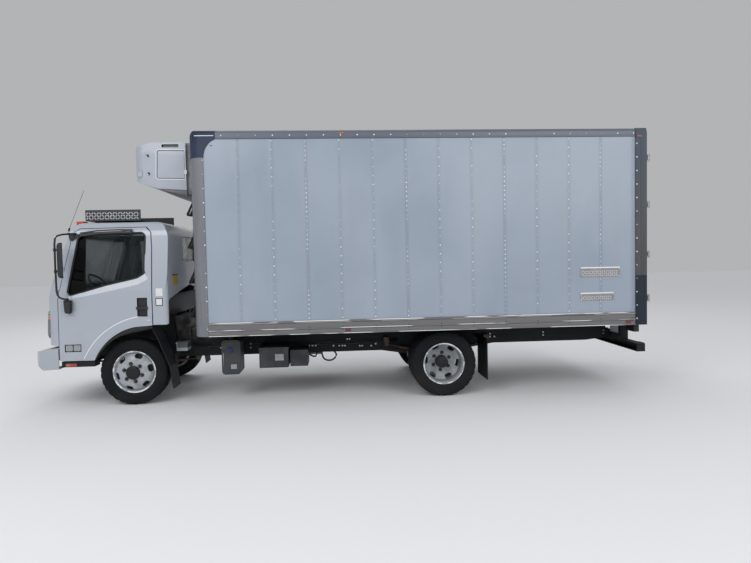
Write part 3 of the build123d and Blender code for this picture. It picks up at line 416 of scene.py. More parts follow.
exhaust_steel = Finish("exhaust_steel", (0.3, 0.27, 0.24), 0.5, Metallic=0.9)
heat = exhaust_steel.noise(6.0, 4.0)
exhaust_steel.paint(heat, (0.34, 0.33, 0.32), (0.22, 0.15, 0.1))
wear(exhaust_steel, "exhaust")

tank_plastic = Finish("tank_plastic", (0.02, 0.021, 0.023), 0.5)
tank_plastic.grain(160.0, 2.0, 0.2, 0.001)
x, y, z = tank_plastic.place()
mottle = tank_plastic.patches(3.0, 5.0, 0.35, 0.75)
left_tank = tank_plastic.mix(mottle * 0.3, (0.014, 0.024, 0.032), ROAD_DUST)
right_tank = tank_plastic.mix(mottle * 0.4, (0.11, 0.115, 0.12), ROAD_DUST)
# The right tank's straps stand a little proud of its side, top and foot
STRAP_Y, STRAP_TOP, STRAP_FOOT = 0.9004, 0.7804, 0.3596
strap = ((abs(y) > STRAP_Y) + (z > STRAP_TOP) + (z < STRAP_FOOT)).clamped()
right_tank = tank_plastic.mix(strap, right_tank, (0.30, 0.30, 0.30))
tank_plastic.paint(y > 0.0, left_tank, right_tank)
wear(tank_plastic, "side_tanks")

# The relay box by the front wheel is grey with a light band; the battery boxes are black
box_plastic = Finish("box_plastic", (0.02, 0.021, 0.023), 0.5)
x, y, z = box_plastic.place()
RELAY_REAR, BAND_TOP, BAND_REAR = 1.0, 0.640, 0.438
relay_box = (x - AXLE_X) < RELAY_REAR
ribs = ridges((x - AXLE_X) * 42.0) > 0.3
relay_grey = box_plastic.mix(ribs, (0.09, 0.10, 0.11), (0.15, 0.16, 0.17))
light_band = (z < BAND_TOP) + ((x - AXLE_X) < BAND_REAR)
relay_grey = box_plastic.mix(light_band.clamped(), relay_grey, (0.42, 0.44, 0.45))
lid_dust = box_plastic.patches(7.0, 5.0, 0.4, 0.7)
black = box_plastic.mix(lid_dust * 0.25, (0.016, 0.022, 0.028), ROAD_DUST)
box_plastic.paint(relay_box, black, relay_grey)
box_plastic.grain(160.0, 2.0, 0.2, 0.001)
wear(box_plastic, "battery_box")


def lofted(mesh, rings):
    """A closed shell through a row of outlines that have the same number of points."""
    rows = [[mesh.verts.new(p) for p in ring] for ring in rings]
    for a, b in zip(rows, rows[1:]):
        for k in range(len(a)):
            j = (k + 1) % len(a)
            mesh.faces.new((a[k], a[j], b[j], b[k]))
    mesh.faces.new(list(reversed(rows[0])))
    mesh.faces.new(rows[-1])


def tube(mesh, points, radius, sides=8):
    """A round bar through a list of points, closed at both ends."""
    rings = []
    for k, here in enumerate(points):
        before = points[max(0, k - 1)]
        after = points[min(len(points) - 1, k + 1)]
        on = (after - before).normalized()
        other = Vector((0, 0, 1)) if abs(on.z) < 0.9 else Vector((1, 0, 0))
        right = on.cross(other).normalized()
        up = right.cross(on)
        ring = []
        for n in range(sides):
            out = right * cos(tau * n / sides) + up * sin(tau * n / sides)
            ring.append(here + out * radius)
        rings.append(ring)
    lofted(mesh, rings)


def finished(mesh, name):
    """Closes a bmesh: doubles merged, faces turned outward, written to a new mesh."""
    bmesh.ops.remove_doubles(mesh, verts=mesh.verts, dist=0.00001)
    bmesh.ops.recalc_face_normals(mesh, faces=mesh.faces)
    made = bpy.data.meshes.new(name)
    mesh.to_mesh(made)
    mesh.free()
    return made


def closed_piece(name, mesh, finish, body, slot, smooth=False):
    """Closes a bmesh and puts it in the scene as a piece that rides on a body."""
    return new_piece(name, finished(mesh, name), finish, body, slot, smooth)


def prism(mesh, outline, depth):
    """A closed slab from a flat outline of points and the vector through its thickness."""
    near = [mesh.verts.new(p) for p in outline]
    far = [mesh.verts.new(p + depth) for p in outline]
    mesh.faces.new(near)
    mesh.faces.new(list(reversed(far)))
    for k in range(len(near)):
        j = (k + 1) % len(near)
        mesh.faces.new((near[k], far[k], far[j], near[j]))


def upright(x0, x1, z0, z1):
    """The corners of an upright rectangle."""
    return [(x0, z0), (x1, z0), (x1, z1), (x0, z1)]


def bars(name, runs, finish, body, slot, smooth=True):
    """A piece made of round bars. runs: the points, radius and number of sides of each."""
    mesh = bmesh.new()
    for points, radius, sides in runs:
        tube(mesh, [spot(*p) for p in points], radius, sides)
    return closed_piece(name, mesh, finish, body, slot, smooth)


def slab(name, outline, depth, finish, body, slot):
    """A piece made of one closed slab."""
    mesh = bmesh.new()
    prism(mesh, outline, depth)
    return closed_piece(name, mesh, finish, body, slot)


U_BEND = 0.012


def u_bolt(mesh, x, y, half, low, high):
    """A round bar bent over a spring pack, its threaded legs down past the axle."""
    leg = [(half, low), (half, high - U_BEND), (half - U_BEND, high)]
    bend = [(-py, pz) for py, pz in leg] + leg[::-1]
    tube(mesh, [spot(x, y + py, pz) for py, pz in bend], 0.008)


REAR_AXLE = 3.81
U_HALF = 0.044
# axle x, y, distance of each bolt from the axle, lowest and highest z
U_BOLTS = [(0.0, 0.395, 0.058, 0.372, 0.464), (REAR_AXLE, 0.492, 0.080, 0.318, 0.526)]
mesh = bmesh.new()
leg_ends = []
for x, y, reach, low, high in U_BOLTS:
    for side in (-1, 1):
        for end in (-1, 1):
            u_bolt(mesh, x + end * reach, side * y, U_HALF, low, high)
            for leg in (-U_HALF, U_HALF):
                leg_ends.append(spot(x + end * reach, side * y + leg, low + 0.016))
closed_piece("spring_u_bolts", mesh, spring_steel, "chassis", "bare_steel", True)
heads("spring_u_bolt_nuts", "bolt", leg_ends, "up", 0.015, 0.009, spring_steel, "chassis", "bare_steel")

# The left tank's blue filler cap and strap, and blank labels on the tank and the battery box
cap_blue = Finish("cap_blue", (0.012, 0.030, 0.120), 0.45)
cap_blue.grain(60.0, 2.0, 0.3, 0.001)
blank_grey = Finish("blank_label", (0.30, 0.32, 0.34), 0.5)
smudges = blank_grey.noise(18.0, 3.0)
blank_grey.paint(smudges, (0.36, 0.38, 0.40), (0.20, 0.21, 0.22))
for title, kind, y, radius, height in (
    ("tank_cap", "stud", -0.906, 0.037, 0.012),
    ("tank_cap_grip", "bolt", -0.920, 0.019, 0.007),
):
    place = [spot(1.151, y, 0.633)]
    heads(title, kind, place, "side", radius, height, cap_blue, "chassis", "dark_plastic")
strap_run = [(1.076, -0.903, 0.440), (1.076, -0.903, 0.640)]
bars("tank_strap", [(strap_run, 0.0045, 8)], zinc, "chassis", "bare_steel")
for label, x0, x1, y, z0, z1 in (
    ("tank_label", 1.165, 1.237, -0.900, 0.400, 0.457),
    ("battery_label", 1.706, 1.814, -0.880, 0.484, 0.565),
):
    corners = [spot(px, y - 0.0015, pz) for px, pz in upright(x0, x1, z0, z1)]
    slab(label, corners, Vector((0, 0.0025, 0)), blank_grey, "chassis", "white_paint")

# Pipes clipped along the left rail, and the unit's lines from the engine to the front wall
pipe_black = Finish("pipe_rubber", (0.014, 0.015, 0.016), 0.5)
pipe_black.grain(140.0, 2.0, 0.2, 0.001)
RAIL_PIPES = [(0.640, 0.006), (0.625, 0.005), (0.607, 0.008)]
PIPE_RUN = [
    (0.60, 0.030), (1.02, 0.0), (1.40, 0.004), (2.05, 0.0), (2.80, 0.003), (3.10, 0.0), (3.30, 0.018),
]
pipes = [
    ([(px, -0.4265 - radius, z + pz) for px, pz in PIPE_RUN], radius, 8) for z, radius in RAIL_PIPES
]
bars("rail_pipes", pipes, pipe_black, "chassis", "rubber")
pipe_clips = [spot(px, -0.4355, 0.616) for px in (0.80, 1.22, 2.23, 2.75, 3.02)]
heads("rail_pipe_clips", "bolt", pipe_clips, "side", 0.013, 0.011, pipe_black, "chassis", "bare_steel")

# Two rubber air hoses that hang in fixed loops inside the left rail
HOSE_LOOPS = [
    [(2.050, 0.405, 0.580), (2.085, 0.405, 0.500), (2.125, 0.400, 0.455), (2.190, 0.395, 0.432),
     (2.212, 0.390, 0.480), (2.195, 0.385, 0.580)],
    [(2.270, 0.408, 0.590), (2.276, 0.406, 0.470), (2.300, 0.404, 0.400), (2.375, 0.400, 0.374),
     (2.448, 0.396, 0.402), (2.476, 0.392, 0.462), (2.425, 0.388, 0.516), (2.320, 0.384, 0.580)],
]


def softened(points, rounds=2):
    """The line with its corners cut in a few rounds, so that it bends as a hose does."""
    points = [Vector(p) for p in points]
    for _ in range(rounds):
        cut = [points[0]]
        for a, b in zip(points, points[1:]):
            cut += [a.lerp(b, 0.25), a.lerp(b, 0.75)]
        points = cut + [points[-1]]
    return points


loops = [(softened([(x, -y, z) for x, y, z in loop]), 0.011, 8) for loop in HOSE_LOOPS]
bars("air_hose_loops", loops, pipe_black, "chassis", "rubber")

# radius of each line and its way up from the engine to the unit
UNIT_LINES = [
    (0.016, [(0.62, -0.30, 0.74), (0.70, -0.34, 0.80), (0.775, -0.42, 0.95), (0.785, -0.60, 1.20),
             (0.785, -0.66, 1.80), (0.785, -0.66, 2.56)]),
    (0.013, [(0.62, -0.26, 0.74), (0.70, -0.29, 0.80), (0.778, -0.36, 0.95), (0.788, -0.55, 1.20),
             (0.788, -0.61, 1.80), (0.788, -0.61, 2.56)]),
    (0.009, [(0.64, -0.20, 0.74), (0.72, -0.24, 0.82), (0.792, -0.30, 0.98), (0.794, -0.50, 1.22),
             (0.794, -0.57, 1.80), (0.794, -0.57, 2.56)]),
]
lines = [(line, radius, 12) for radius, line in UNIT_LINES]
bars("unit_lines", lines, pipe_black, "chassis", "rubber")
line_clips = [spot(0.797, -0.635, z) for z in (1.45, 1.80, 2.15, 2.45)]
heads("unit_line_clips", "bolt", line_clips, "front", 0.016, 0.010, zinc, "chassis", "bare_steel")


# The wheels: painted steel discs with oval hand holes, six lug nuts on a 222 mm circle, a dark
# hub, and a scuffed bright edge on the rim. The rear outer disc is the same wheel turned round.
AXLE_Z = 0.4055
FRONT_TYRE_Y = 0.8275
wheel_paint = Finish("wheel_paint", (0.5, 0.52, 0.54), 0.42)
x, y, z = wheel_paint.place()
fore = x - AXLE_X
fore = fore - REAR_AXLE * (fore > 2.0)
up = z - AXLE_Z
reach = (fore * fore + up * up).root()
stains = wheel_paint.patches(11.0, 6.0, 0.4, 0.8)
paint = wheel_paint.mix(stains, (0.38, 0.41, 0.44), (0.24, 0.245, 0.245))
scuffs = wheel_paint.patches(16.0, 4.0, 0.46, 0.54)
RIM_EDGE_R, HUB_R, REAR_DISC_Y, REAR_BOWL_R = 0.2435, 0.0775, 0.71, 0.195
edge = (reach > RIM_EDGE_R) * scuffs
paint = wheel_paint.mix(edge, paint, (0.80, 0.81, 0.80))
# Painted shade darkens the creases where the disc meets the rim and round the hub
crease_shade = wheel_paint.ramp(reach, (0.076, 1.0), (0.088, 0.0), (0.218, 0.0), (0.227, 0.7), (0.236, 0.0))
paint = wheel_paint.mix(crease_shade * 0.75, paint, (0.05, 0.047, 0.043))
# The hub is dark, and the middle of the rear inner disc, deep inside the outer wheel, is painted dark as
# shade
hub_and_inner_disc_shade = (reach < HUB_R) + (abs(y) < REAR_DISC_Y) * (reach < REAR_BOWL_R)
paint = wheel_paint.mix(hub_and_inner_disc_shade.clamped(), paint, (0.022, 0.023, 0.025))
wheel_paint.feed("Base Color", paint)
wheel_paint.feed("Roughness", 0.35 + 0.35 * stains)
WHEEL_NODES = ("wheel_front_left", "wheel_front_right", "wheels_rear_left", "wheels_rear_right")
wear(wheel_paint, *WHEEL_NODES)

rubber = Finish("tyre_rubber", (0.008, 0.009, 0.011), 0.85, Specular_IOR_Level=0.2)
dusty(rubber, (0.007, 0.008, 0.010), (0.045, 0.042, 0.038), 0.9, 0.5)
rubber.grain(220.0, 2.0, 0.25, 0.001)

LUG_CIRCLE_R = 0.111
LUGS = 6
TYRE_SEGMENTS = 120
TREAD_PITCH = 4
NOTCH_DEEP = 0.007
# Tyre section from the bead over the tread's edge to its middle: distance outward, radius
TYRE_SECTION = [
    (0.078, 0.2480), (0.087, 0.2560), (0.093, 0.2680), (0.102, 0.2850), (0.104, 0.2880),
    (0.108, 0.3000), (0.1105, 0.3250), (0.1115, 0.3280), (0.1115, 0.3460), (0.1100, 0.3500),
    (0.1060, 0.3720), (0.1030, 0.3800), (0.0985, 0.3920), (0.0900, 0.4010), (0.0760, 0.4042),
    (0.0620, 0.4050), (0.0600, 0.3930), (0.0530, 0.3930), (0.0510, 0.4053), (0.0250, 0.4055),
    (0.0235, 0.3930), (0.0165, 0.3930), (0.0150, 0.4055), (0.0, 0.4055),
]
SHOULDER = (12, 15)


def band(mesh, rows, closed=True):
    """A tube of faces through several rows of points, closed round its section."""
    verts = [[mesh.verts.new(p) for p in row] for row in rows]
    count = len(rows[0])
    for a, b in zip(verts, verts[1:] + verts[:1]):
        for k in range(count if closed else count - 1):
            j = (k + 1) % count
            mesh.faces.new((a[k], a[j], b[j], b[k]))
    if not closed:
        mesh.faces.new([row[0] for row in verts])
        mesh.faces.new([row[-1] for row in reversed(verts)])


def tyre_mesh(mesh, x, y):
    """Turns the section round the axle, with notches in the tread's shoulders."""
    section = TYRE_SECTION + [(-out, r) for out, r in reversed(TYRE_SECTION[:-1])]
    last = len(section) - 1
    rows = []
    for k in range(TYRE_SEGMENTS):
        angle = tau * k / TYRE_SEGMENTS
        row = []
        for n, (out, r) in enumerate(section):
            on_shoulder = SHOULDER[0] <= min(n, last - n) <= SHOULDER[1]
            reach = r - (NOTCH_DEEP if on_shoulder and k % TREAD_PITCH == 0 else 0.0)
            row.append(spot(x + reach * cos(angle), y + out, AXLE_Z + reach * sin(angle)))
        rows.append(row)
    band(mesh, rows)


# body, tyre node, axle x, middles of its tyres
TYRES = [
    ("wheel_front_left", "tyre_front_left", 0.0, [-FRONT_TYRE_Y]),
    ("wheel_front_right", "tyre_front_right", 0.0, [FRONT_TYRE_Y]),
    ("wheels_rear_left", "tyres_rear_left", REAR_AXLE, [-0.952, -0.698]),
    ("wheels_rear_right", "tyres_rear_right", REAR_AXLE, [0.952, 0.698]),
]
for body, tyre_node, x, middles in TYRES:
    mesh = bmesh.new()
    for y in middles:
        tyre_mesh(mesh, x, y)
    tyre = new_piece(tyre_node + "_tread", finished(mesh, tyre_node), rubber, body, "rubber")
    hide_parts(tyre_node)

hub_black = Finish("hub_black", (0.012, 0.013, 0.015), 0.5, Specular_IOR_Level=0.3)
hub_black.uneven(0.35, 0.3, 30.0, 3.0)
nut_steel = Finish("nut_steel", (0.10, 0.10, 0.10), 0.5, Metallic=0.6)
nut_rust = nut_steel.patches(60.0, 3.0, 0.4, 0.7)
nut_steel.paint(nut_rust, (0.075, 0.077, 0.08), (0.05, 0.042, 0.038))
FRONT_CAP = [
    (0.0, 0.083), (0.010, 0.084), (0.014, 0.078), (0.030, 0.077), (0.034, 0.064), (0.036, 0.061),
    (0.040, 0.036), (0.0405, 0.001),
]
REAR_CAP = [(0.090, 0.070), (0.094, 0.073), (0.100, 0.072), (0.104, 0.060), (0.108, 0.034), (0.1085, 0.001)]
# body, axle x, side, y of the face that the nuts bear on, first nut in degrees up from the rear, cap
HUBS = [
    ("wheel_front_left", 0.0, -1, 0.9545, 43, FRONT_CAP),
    ("wheel_front_right", 0.0, 1, 0.9545, 43, FRONT_CAP),
    ("wheels_rear_left", REAR_AXLE, -1, 0.8370, 24, REAR_CAP),
    ("wheels_rear_right", REAR_AXLE, 1, 0.8370, 24, REAR_CAP),
]


def turned_piece(mesh, profile, x, y, z, side, segments=48):
    """Adds a closed body turned about an axle to a bmesh. Profile: distance outward, radius."""
    turns = [tau * k / segments for k in range(segments)]
    lofted(mesh, [
        [spot(x + r * cos(t), y + side * out, z + r * sin(t)) for t in turns] for out, r in profile
    ])


for body, x, side, y, first, cap in HUBS:
    places = []
    for k in range(LUGS):
        angle = radians(first + 360 * k / LUGS)
        away = (LUG_CIRCLE_R * cos(angle), LUG_CIRCLE_R * sin(angle))
        places.append(spot(x + away[0], side * (y + 0.009), AXLE_Z + away[1]))
    heads(body + "_nuts", "bolt", places, "side", 0.0185, 0.011, nut_steel, body, "bare_steel")
    seats = [p - Vector((0, side * 0.007, 0)) for p in places]
    heads(body + "_nut_seats", "stud", seats, "side", 0.0235, 0.003, hub_black, body, "bare_steel")
    tips = [p + Vector((0, side * 0.012, 0)) for p in places]
    heads(body + "_studs", "stud", tips, "side", 0.009, 0.012, nut_steel, body, "bare_steel")
    mesh = bmesh.new()
    turned_piece(mesh, cap, x, side * y, AXLE_Z, side)
    closed_piece(body + "_hub_cap", mesh, hub_black, body, "dark_plastic")

# Each side's name and its sign along y
SIDES = (("left", -1), ("right", 1))
# The front brake drums, seen dark through the discs' hand holes
DRUM = [(0.012, 0.205), (0.016, 0.214), (0.040, 0.214), (0.046, 0.206), (0.050, 0.160), (0.050, 0.070)]
for name, side in SIDES:
    mesh = bmesh.new()
    turned_piece(mesh, DRUM, 0.0, side * FRONT_TYRE_Y, AXLE_Z, side)
    title = f"brake_drum_{name}"
    closed_piece(title, mesh, hub_black, f"wheel_front_{name}", "bare_steel")


# The cab's body: pressed steel in white gloss paint with a slight waviness and a little road film
# along its lower edge. The door's mirror arms, pull bar and cup are black plastic, and the doors
# and the back wall are trimmed in grey plastic on the inside.
# The cab's white paint is given grey-blue and darker than white: partly painted shade
CAB_WHITE_IN_SHADE = (0.37, 0.405, 0.455)
INNER_TRIM = (0.10, 0.105, 0.11)
BLACK_TRIM = (0.014, 0.015, 0.016)


def cab_finish(name):
    finish = Finish(name, CAB_WHITE_IN_SHADE, 0.25, Coat_Weight=0.5, Coat_Roughness=0.08)
    x, y, z = finish.place()
    film = finish.patches(4.0, 5.0, 0.4, 0.8)
    low = ((1.1 - z) / 0.7).clamped()
    white = finish.mix(film * low * 0.4, CAB_WHITE_IN_SHADE, (0.27, 0.265, 0.25))
    finish.grain(1.6, 2.0, 0.05, 0.02)
    return finish, x, y, z, white


def inside(wire, low, high):
    """1 where a wire lies between two values, and 0 elsewhere."""
    return (wire > low) * (wire < high)


cab_paint, x, y, z, white = cab_finish("cab_paint")
# Inside the grille's opening the panel behind the slats is dark, and the roof is lined in grey cloth
behind_slats = (abs(y) < 0.5745) * inside(z, 0.8695, 1.0565)
headliner = inside(z, 2.1, 2.2065) * (abs(y) < 0.82) * inside(x - AXLE_X, -0.56, 0.40)
white = cab_paint.mix(headliner, white, (0.20, 0.205, 0.21))
cab_paint.paint(behind_slats, white, (0.03, 0.031, 0.033))
wear(cab_paint, "cab_front", "cab_roof", "front_bumper")

# How far a point stands out of the door's skin, which leans in above the beltline
DOOR_SKIN_Y = 1.030
SKIN_LEAN = 0.1085
LEAN_FROM_Z = 1.40
door_paint, x, y, z, white = cab_finish("door_paint")
lean = (z - LEAN_FROM_Z) * SKIN_LEAN
proud = abs(y) - DOOR_SKIN_Y + lean * (z > LEAN_FROM_Z)
from_axle = x - AXLE_X
# The black plastic of the pull's cup and of the bay round the two lamps, both sunk in the skin
in_cup = inside(from_axle, 0.0993, 0.2217) * inside(z, 1.0933, 1.3207) * inside(proud, -0.027, -0.001)
in_bay = inside(from_axle, -0.7587, -0.5653) * inside(z, 0.6893, 0.7807)
in_bay = in_bay * inside(proud, -0.0165, -0.001)
black_parts = ((proud > 0.0085) + in_cup + in_bay).clamped()
# The crease over the arch carries a painted highlight: an arc, then a level run to the door's rear edge
CREASE_X, CREASE_Z, CREASE_R = 0.2327, 0.2577, 0.8448
from_x, from_z = from_axle - CREASE_X, z - CREASE_Z
arc_reach = (from_x * from_x + from_z * from_z).root()
on_arc = (abs(arc_reach - CREASE_R) < 0.0045) * (from_axle < 0.122) * (z > 0.60)
on_run = (abs(z - 1.0960) < 0.0045) * inside(from_axle, 0.120, 0.150)
crease = ((on_arc + on_run) * (proud > -0.012)).clamped()
white = door_paint.mix(crease, white, (0.80, 0.83, 0.86))
inner = proud < -0.0475
trimmed = door_paint.mix(inner, white, INNER_TRIM)
door_paint.paint(black_parts, trimmed, BLACK_TRIM)
dull = (black_parts + inner).clamped()
door_paint.feed("Roughness", 0.25 + 0.3 * dull)
door_paint.feed("Coat Weight", 0.5 - 0.5 * dull)
wear(door_paint, "cab_door_left", "cab_door_right")

back_paint, x, y, z, white = cab_finish("back_paint")
skin_lean = (z - LEAN_FROM_Z) * SKIN_LEAN * (z > LEAN_FROM_Z)
cab_inside = inside(x - AXLE_X, -1.0, 0.413) * (abs(y) - DOOR_SKIN_Y + skin_lean < -0.030) * (z < 2.2)
back_paint.paint(cab_inside, white, INNER_TRIM)
wear(back_paint, "cab_rear")


# Around the doors: a rubber seal round each window, a lip of ribbed rubber under the arch, a
# smoked rain shield over the window, and blank plates where the truck carries its signs.
trim_plastic = Finish("trim_plastic", BLACK_TRIM, 0.55)
trim_plastic.grain(300.0, 2.0, 0.2, 0.0006)
wear(trim_plastic, "cab_floor")
seal_rubber = Finish("seal_rubber", (0.012, 0.012, 0.013), 0.7)
sign_white_and_glint = Finish("sign_white_and_glint", (0.66, 0.68, 0.70), 0.5)
sign_frame = Finish("sign_frame", (0.05, 0.035, 0.04), 0.5)
sign_yellow = Finish("sign_yellow", (0.62, 0.44, 0.03), 0.5)


def rounded(corners, radii, steps=6):
    """Points of a closed outline in two axes, with an arc at each corner."""
    points = []
    count = len(corners)
    for k, (corner, radius) in enumerate(zip(corners, radii)):
        here = Vector(corner)
        back = (Vector(corners[k - 1]) - here).normalized()
        on = (Vector(corners[(k + 1) % count]) - here).normalized()
        half = back.angle(on) / 2
        centre = here + (back + on).normalized() * radius / sin(half)
        reach = radius * cos(half) / sin(half)
        start = here + back * reach - centre
        sweep = (here + on * reach - centre).angle_signed(start)
        for n in range(steps + 1):
            turn = sweep * n / steps
            c, s = cos(turn), sin(turn)
            points.append((centre.x + start.x * c - start.y * s, centre.y + start.x * s + start.y * c))
    return points


def skin_y(z):
    """Half width of the cab's side at a height."""
    return DOOR_SKIN_Y - SKIN_LEAN * max(0.0, z - LEAN_FROM_Z)


def trim(name, rows, finish, body, slot, closed=True):
    """A smooth piece made of one band."""
    mesh = bmesh.new()
    band(mesh, rows, closed)
    return closed_piece(name, mesh, finish, body, slot, True)


def shifted(points, by):
    """The outline moved outward or inward along its own normals."""
    moved = []
    count = len(points)
    for k in range(count):
        before, after = Vector(points[k - 1]), Vector(points[(k + 1) % count])
        on = (after - before).normalized()
        moved.append((points[k][0] - on.y * by, points[k][1] + on.x * by))
    return moved


WINDOW = [(-0.712, 1.352), (-0.580, 2.078), (0.203, 2.108), (0.195, 1.617), (0.100, 1.560), (-0.267, 1.480)]
WINDOW_RADII = [0.04, 0.06, 0.06, 0.07, 0.12, 0.12]
SEAL_SECTION = [
    (-0.010, -0.020), (-0.010, 0.001), (-0.003, 0.004), (0.008, 0.004), (0.010, 0.0), (0.010, -0.004),
]
SILL_LINE = [(-0.712, 1.352), (-0.267, 1.480), (0.100, 1.560), (0.195, 1.617)]
SHOULDER_DEPTH = 0.015
SHOULDER_TOP = 0.048
SHOULDER_FADE = 0.018


def set_back(x, z):
    """How far the skin stands in under the window, where the door's shoulder is cut."""
    sill = SILL_LINE[-1][1]
    for (x0, z0), (x1, z1) in zip(SILL_LINE, SILL_LINE[1:]):
        if x <= x1:
            sill = z0 + (x - x0) / (x1 - x0) * (z1 - z0)
            break
    return SHOULDER_DEPTH * min(1.0, max(0.0, (sill + SHOULDER_TOP - z) / SHOULDER_FADE))


outline = rounded(WINDOW, WINDOW_RADII)
for name, side in SIDES:
    rows = []
    for by, out in SEAL_SECTION:
        line = [(px, skin_y(pz) - set_back(px, pz) + out, pz) for px, pz in shifted(outline, by)]
        rows.append([spot(px, side * py, pz) for px, py, pz in line])
    trim(f"window_seal_{name}", rows, seal_rubber, f"door_{name}", "dark_plastic")

# White edge of the arch, and the lip's own edge below it, from the front end up and back
LIP_TOP = [
    (-0.413, 0.584), (-0.372, 0.668), (-0.291, 0.772), (-0.205, 0.851), (-0.134, 0.893),
    (-0.030, 0.938), (0.068, 0.970), (0.170, 0.978), (0.270, 0.984),
]
LIP_LOW = [
    (-0.407, 0.584), (-0.362, 0.660), (-0.273, 0.757), (-0.186, 0.826), (-0.118, 0.858),
    (-0.020, 0.890), (0.070, 0.908), (0.170, 0.926), (0.270, 0.946),
]
LIP_SECTION = [(LIP_TOP, 1.018), (LIP_TOP, 1.033), (LIP_LOW, 1.030), (LIP_LOW, 1.004)]
for name, side in SIDES:
    rows = [[spot(px, side * py, pz) for px, pz in points] for points, py in LIP_SECTION]
    trim(f"arch_lip_{name}", rows, seal_rubber, f"door_{name}", "rubber", False)

SHIELD = [(-0.590, 2.070), (-0.545, 2.122), (-0.350, 2.146), (-0.100, 2.152), (0.060, 2.148)]
SHIELD_SECTION = [(0.0, 0.001), (0.004, 0.026), (0.052, 0.034), (0.052, 0.031), (0.007, 0.022), (0.004, 0.0)]
smoked = Finish("smoked_shield", (0.012, 0.013, 0.014), 0.12, Coat_Weight=1.0)
smoked.uneven(0.10, 0.12, 12.0, 3.0)
for name, side in SIDES:
    rows = []
    for drop, out in SHIELD_SECTION:
        rows.append([spot(px, side * (skin_y(pz) + out), pz - drop) for px, pz in SHIELD])
    trim(f"rain_shield_{name}", rows, smoked, f"door_{name}", "glass", False)


def side_plate(name, x0, x1, z0, z1, y, thick, finish, body, slot, radius=0.004):
    """A rounded plate that lies against a side of the truck, y being where its back is."""
    points = rounded(upright(x0, x1, z0, z1), [radius] * 4, 3)
    depth = Vector((0, thick if y > 0 else -thick, 0))
    return slab(name, [spot(px, y, pz) for px, pz in points], depth, finish, body, slot)


def end_plate(name, y0, y1, z0, z1, x, thick, finish, body, slot, radius=0.004):
    """A rounded plate that faces the front or the rear, x being where its back is."""
    points = rounded(upright(y0, y1, z0, z1), [radius] * 4, 3)
    depth = Vector((thick, 0, 0))
    return slab(name, [spot(x, py, pz) for py, pz in points], depth, finish, body, slot)


# Blank plates on the driver's side, and arch_glint, a painted highlight on the door's crease: x, x, z, z and
# y of the back, then finish, body, slot, corner
for title, *place, finish, body, slot, radius in (
    ("notice_upper", 0.325, 0.405, 1.335, 1.430, -1.0298, sign_white_and_glint, "cab", "white_paint", 0.004),
    ("notice_frame", 0.319, 0.405, 1.218, 1.312, -1.0298, sign_frame, "cab", "dark_plastic", 0.004),
    ("notice_lower", 0.328, 0.396, 1.228, 1.302, -1.0316, sign_white_and_glint, "cab", "white_paint", 0.004),
    ("arch_glint", 0.214, 0.254, 1.046, 1.053, -1.0365, sign_white_and_glint, "door_left", "white_paint", 0.002),
):
    side_plate(title, *place, 0.002, finish, body, slot, radius)

# The yellow blank plate on the cab's back wall, with its black edge above
BACK_X = 0.4605
corners = upright(-0.814, -0.600, 1.461, 1.572)
outline = [spot(BACK_X + 0.006 * (pz - 1.0), py, pz) for py, pz in corners]
slab("yellow_notice", outline, Vector((0.004, 0, 0)), sign_yellow, "cab", "white_paint")
place = (-0.824, -0.590, 1.574, 1.590, BACK_X + 0.0032)
end_plate("yellow_notice_edge", *place, 0.004, sign_frame, "cab", "dark_plastic")

AIR_SLOT = [(0.437, 1.515), (0.4615, 1.515), (0.4700, 1.828), (0.4455, 1.828)]
for name, side in SIDES:
    edge = rounded(AIR_SLOT, [0.006] * 4, 3)
    outline = [spot(px, side * (skin_y(pz) - 0.017), pz) for px, pz in edge]
    depth = Vector((0, side * 0.006, 0))
    slab(f"air_outlet_{name}", outline, depth, seal_rubber, "cab", "dark_plastic")


# Mirrors: on each door a slim moulded head turned in towards the driver, on a tube that loops
# from a black bracket on the pillar to a small lower head. The door is the CAD door's own mesh
# with the plain mirror cut away and its skin closed behind it.
mirror_glass = Finish("mirror_glass", (0.55, 0.57, 0.60), 0.06, Metallic=1.0)
mirror_glass.uneven(0.04, 0.06, 6.0, 2.0)
# The plain mirror lies ahead of an x, above a z, and at least so far out from the door's skin
MIRROR_REAR, MIRROR_FOOT, MIRROR_CLEAR = -0.585, 1.125, 0.016


def cut_mirror(mesh, merged):
    """Deletes the plain mirror's faces, which all stand clear of the door's skin."""
    if merged:
        bmesh.ops.remove_doubles(mesh, verts=mesh.verts, dist=0.00001)
    gone = []
    for face in mesh.faces:
        middle = face.calc_center_median()
        forward = middle.x - AXLE_X < MIRROR_REAR and middle.z > MIRROR_FOOT
        if forward and abs(middle.y) - skin_y(middle.z) > MIRROR_CLEAR:
            gone.append(face)
    bmesh.ops.delete(mesh, geom=gone, context="FACES")


def bare_door_mesh(name):
    """The door's own mesh without the plain mirror, and with the skin closed behind it."""
    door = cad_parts[f"cab_door_{name}"].data
    closed = bmesh.new()
    closed.from_mesh(door)
    cut_mirror(closed, True)
    rims = [edge for edge in closed.edges if len(edge.link_faces) == 1]
    filled = bmesh.ops.holes_fill(closed, edges=rims, sides=0)["faces"]
    patches = [[vert.co.copy() for vert in face.verts] for face in filled]
    closed.free()
    mesh = bmesh.new()
    mesh.from_mesh(door)
    cut_mirror(mesh, False)
    for patch in patches:
        mesh.faces.new([mesh.verts.new(place) for place in patch])
    bare = bpy.data.meshes.new(f"bare_door_{name}")
    mesh.to_mesh(bare)
    mesh.free()
    return bare


HEAD_TURN = radians(23)
HEAD_MIDDLE = (-0.672, 1.172, 1.785)
HEAD_OUTLINE = upright(-0.094, 0.094, -0.205, 0.205)
